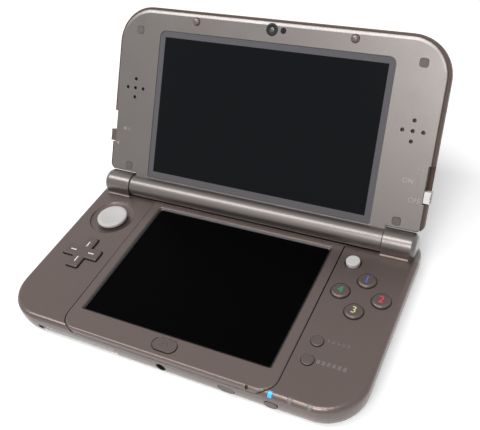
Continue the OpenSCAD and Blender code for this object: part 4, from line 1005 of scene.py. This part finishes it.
# %% World
ROOM_TINT, ROOM_STRENGTH = (0.98, 0.985, 1.0, 1), 0.22
world = bpy.data.worlds.new("studio")
bpy.context.scene.world = world
world.use_nodes = True
tree = world.node_tree
room = tree.nodes["Background"]
put(tree, room, {"Color": ROOM_TINT, "Strength": ROOM_STRENGTH})
paper = add(tree, "ShaderNodeBackground",
            {"Color": (1, 1, 1, 1), "Strength": 1.0})


def seen_directly(tree):
    """1 for camera, glossy and transmission rays."""
    rays = add(tree, "ShaderNodeLightPath").outputs
    mirrored = maths(tree, "MAXIMUM", rays["Is Glossy Ray"],
                     rays["Is Transmission Ray"])
    return maths(tree, "MAXIMUM", rays["Is Camera Ray"], mirrored)


chosen = add(tree, "ShaderNodeMixShader",
             {0: seen_directly(tree), 1: room.outputs[0],
              2: paper.outputs[0]})
tree.links.new(chosen.outputs[0], tree.nodes["World Output"].inputs[0])
print("world made")

# %% Lamps
LAMP_TARGET = Vector((0, 0.02, 0.03))


def soft_lamp(name, direction, distance, size, radiance):
    """A rectangular panel that faces the console, its long side along X."""
    lamp = bpy.data.lights.new(name, "AREA")
    lamp.shape = "RECTANGLE"
    lamp.size, lamp.size_y = size
    lamp.energy = math.pi * size[0] * size[1] * radiance
    thing = bpy.data.objects.new(name, lamp)
    bpy.context.scene.collection.objects.link(thing)
    away = Vector(direction).normalized()
    thing.location = LAMP_TARGET + away * distance
    across = (Vector((1, 0, 0)) - away * away.x).normalized()
    turn = Matrix((across, away.cross(across), away)).transposed()
    thing.rotation_euler = turn.to_euler()
    return thing


soft_lamp("ceiling_panel", (-0.28, -0.26, 0.92), 0.9, (0.95, 0.24), 8.7)
soft_lamp("front_panel", (0.05, -0.77, 0.67), 1.0, (0.33, 0.33), 11.4)

# %% White table
GLOW_FROM, GLOW_RISE, GLOW_NEAR = 0.3, 0.5, 0.47
mesh = bpy.data.meshes.new("table_top")
bm = bmesh.new()
bmesh.ops.create_grid(bm, x_segments=1, y_segments=1, size=6.0)
bm.to_mesh(mesh)
bm.free()
table_top = bpy.data.objects.new("table_top", mesh)
bpy.context.scene.collection.objects.link(table_top)
white_table, tree, shader = new_material("white_table", Roughness=0.9,
                                         Specular_IOR_Level=0.1)
fibre = use(tree, clouds, Place=here(tree), Size=2.0, Spread=0.01,
            Middle=0.78)
tint = add(tree, "ShaderNodeCombineColor",
           {0: fibre["Value"], 1: fibre["Value"], 2: fibre["Value"]})
tree.links.new(tint.outputs[0], shader.inputs["Base Color"])
from_middle = add(tree, "ShaderNodeVectorMath", {0: here(tree)},
                  operation="LENGTH").outputs["Value"]
far_off = maths(tree, "SUBTRACT", from_middle, GLOW_FROM, clamp=True)
glow = add(tree, "ShaderNodeEmission", {
    "Color": (1, 1, 1, 1),
    "Strength": maths(tree, "MULTIPLY_ADD", far_off, GLOW_RISE, GLOW_NEAR)})
lift = add(tree, "ShaderNodeMixShader",
           {0: seen_directly(tree), 2: glow.outputs[0]})
both = add(tree, "ShaderNodeAddShader",
           {0: shader.outputs[0], 1: lift.outputs[0]})
tree.links.new(both.outputs[0], tree.nodes["Material Output"].inputs[0])
mesh.materials.append(white_table)
print("table made")

# %% Bring the scene up to date
bpy.context.view_layer.update()
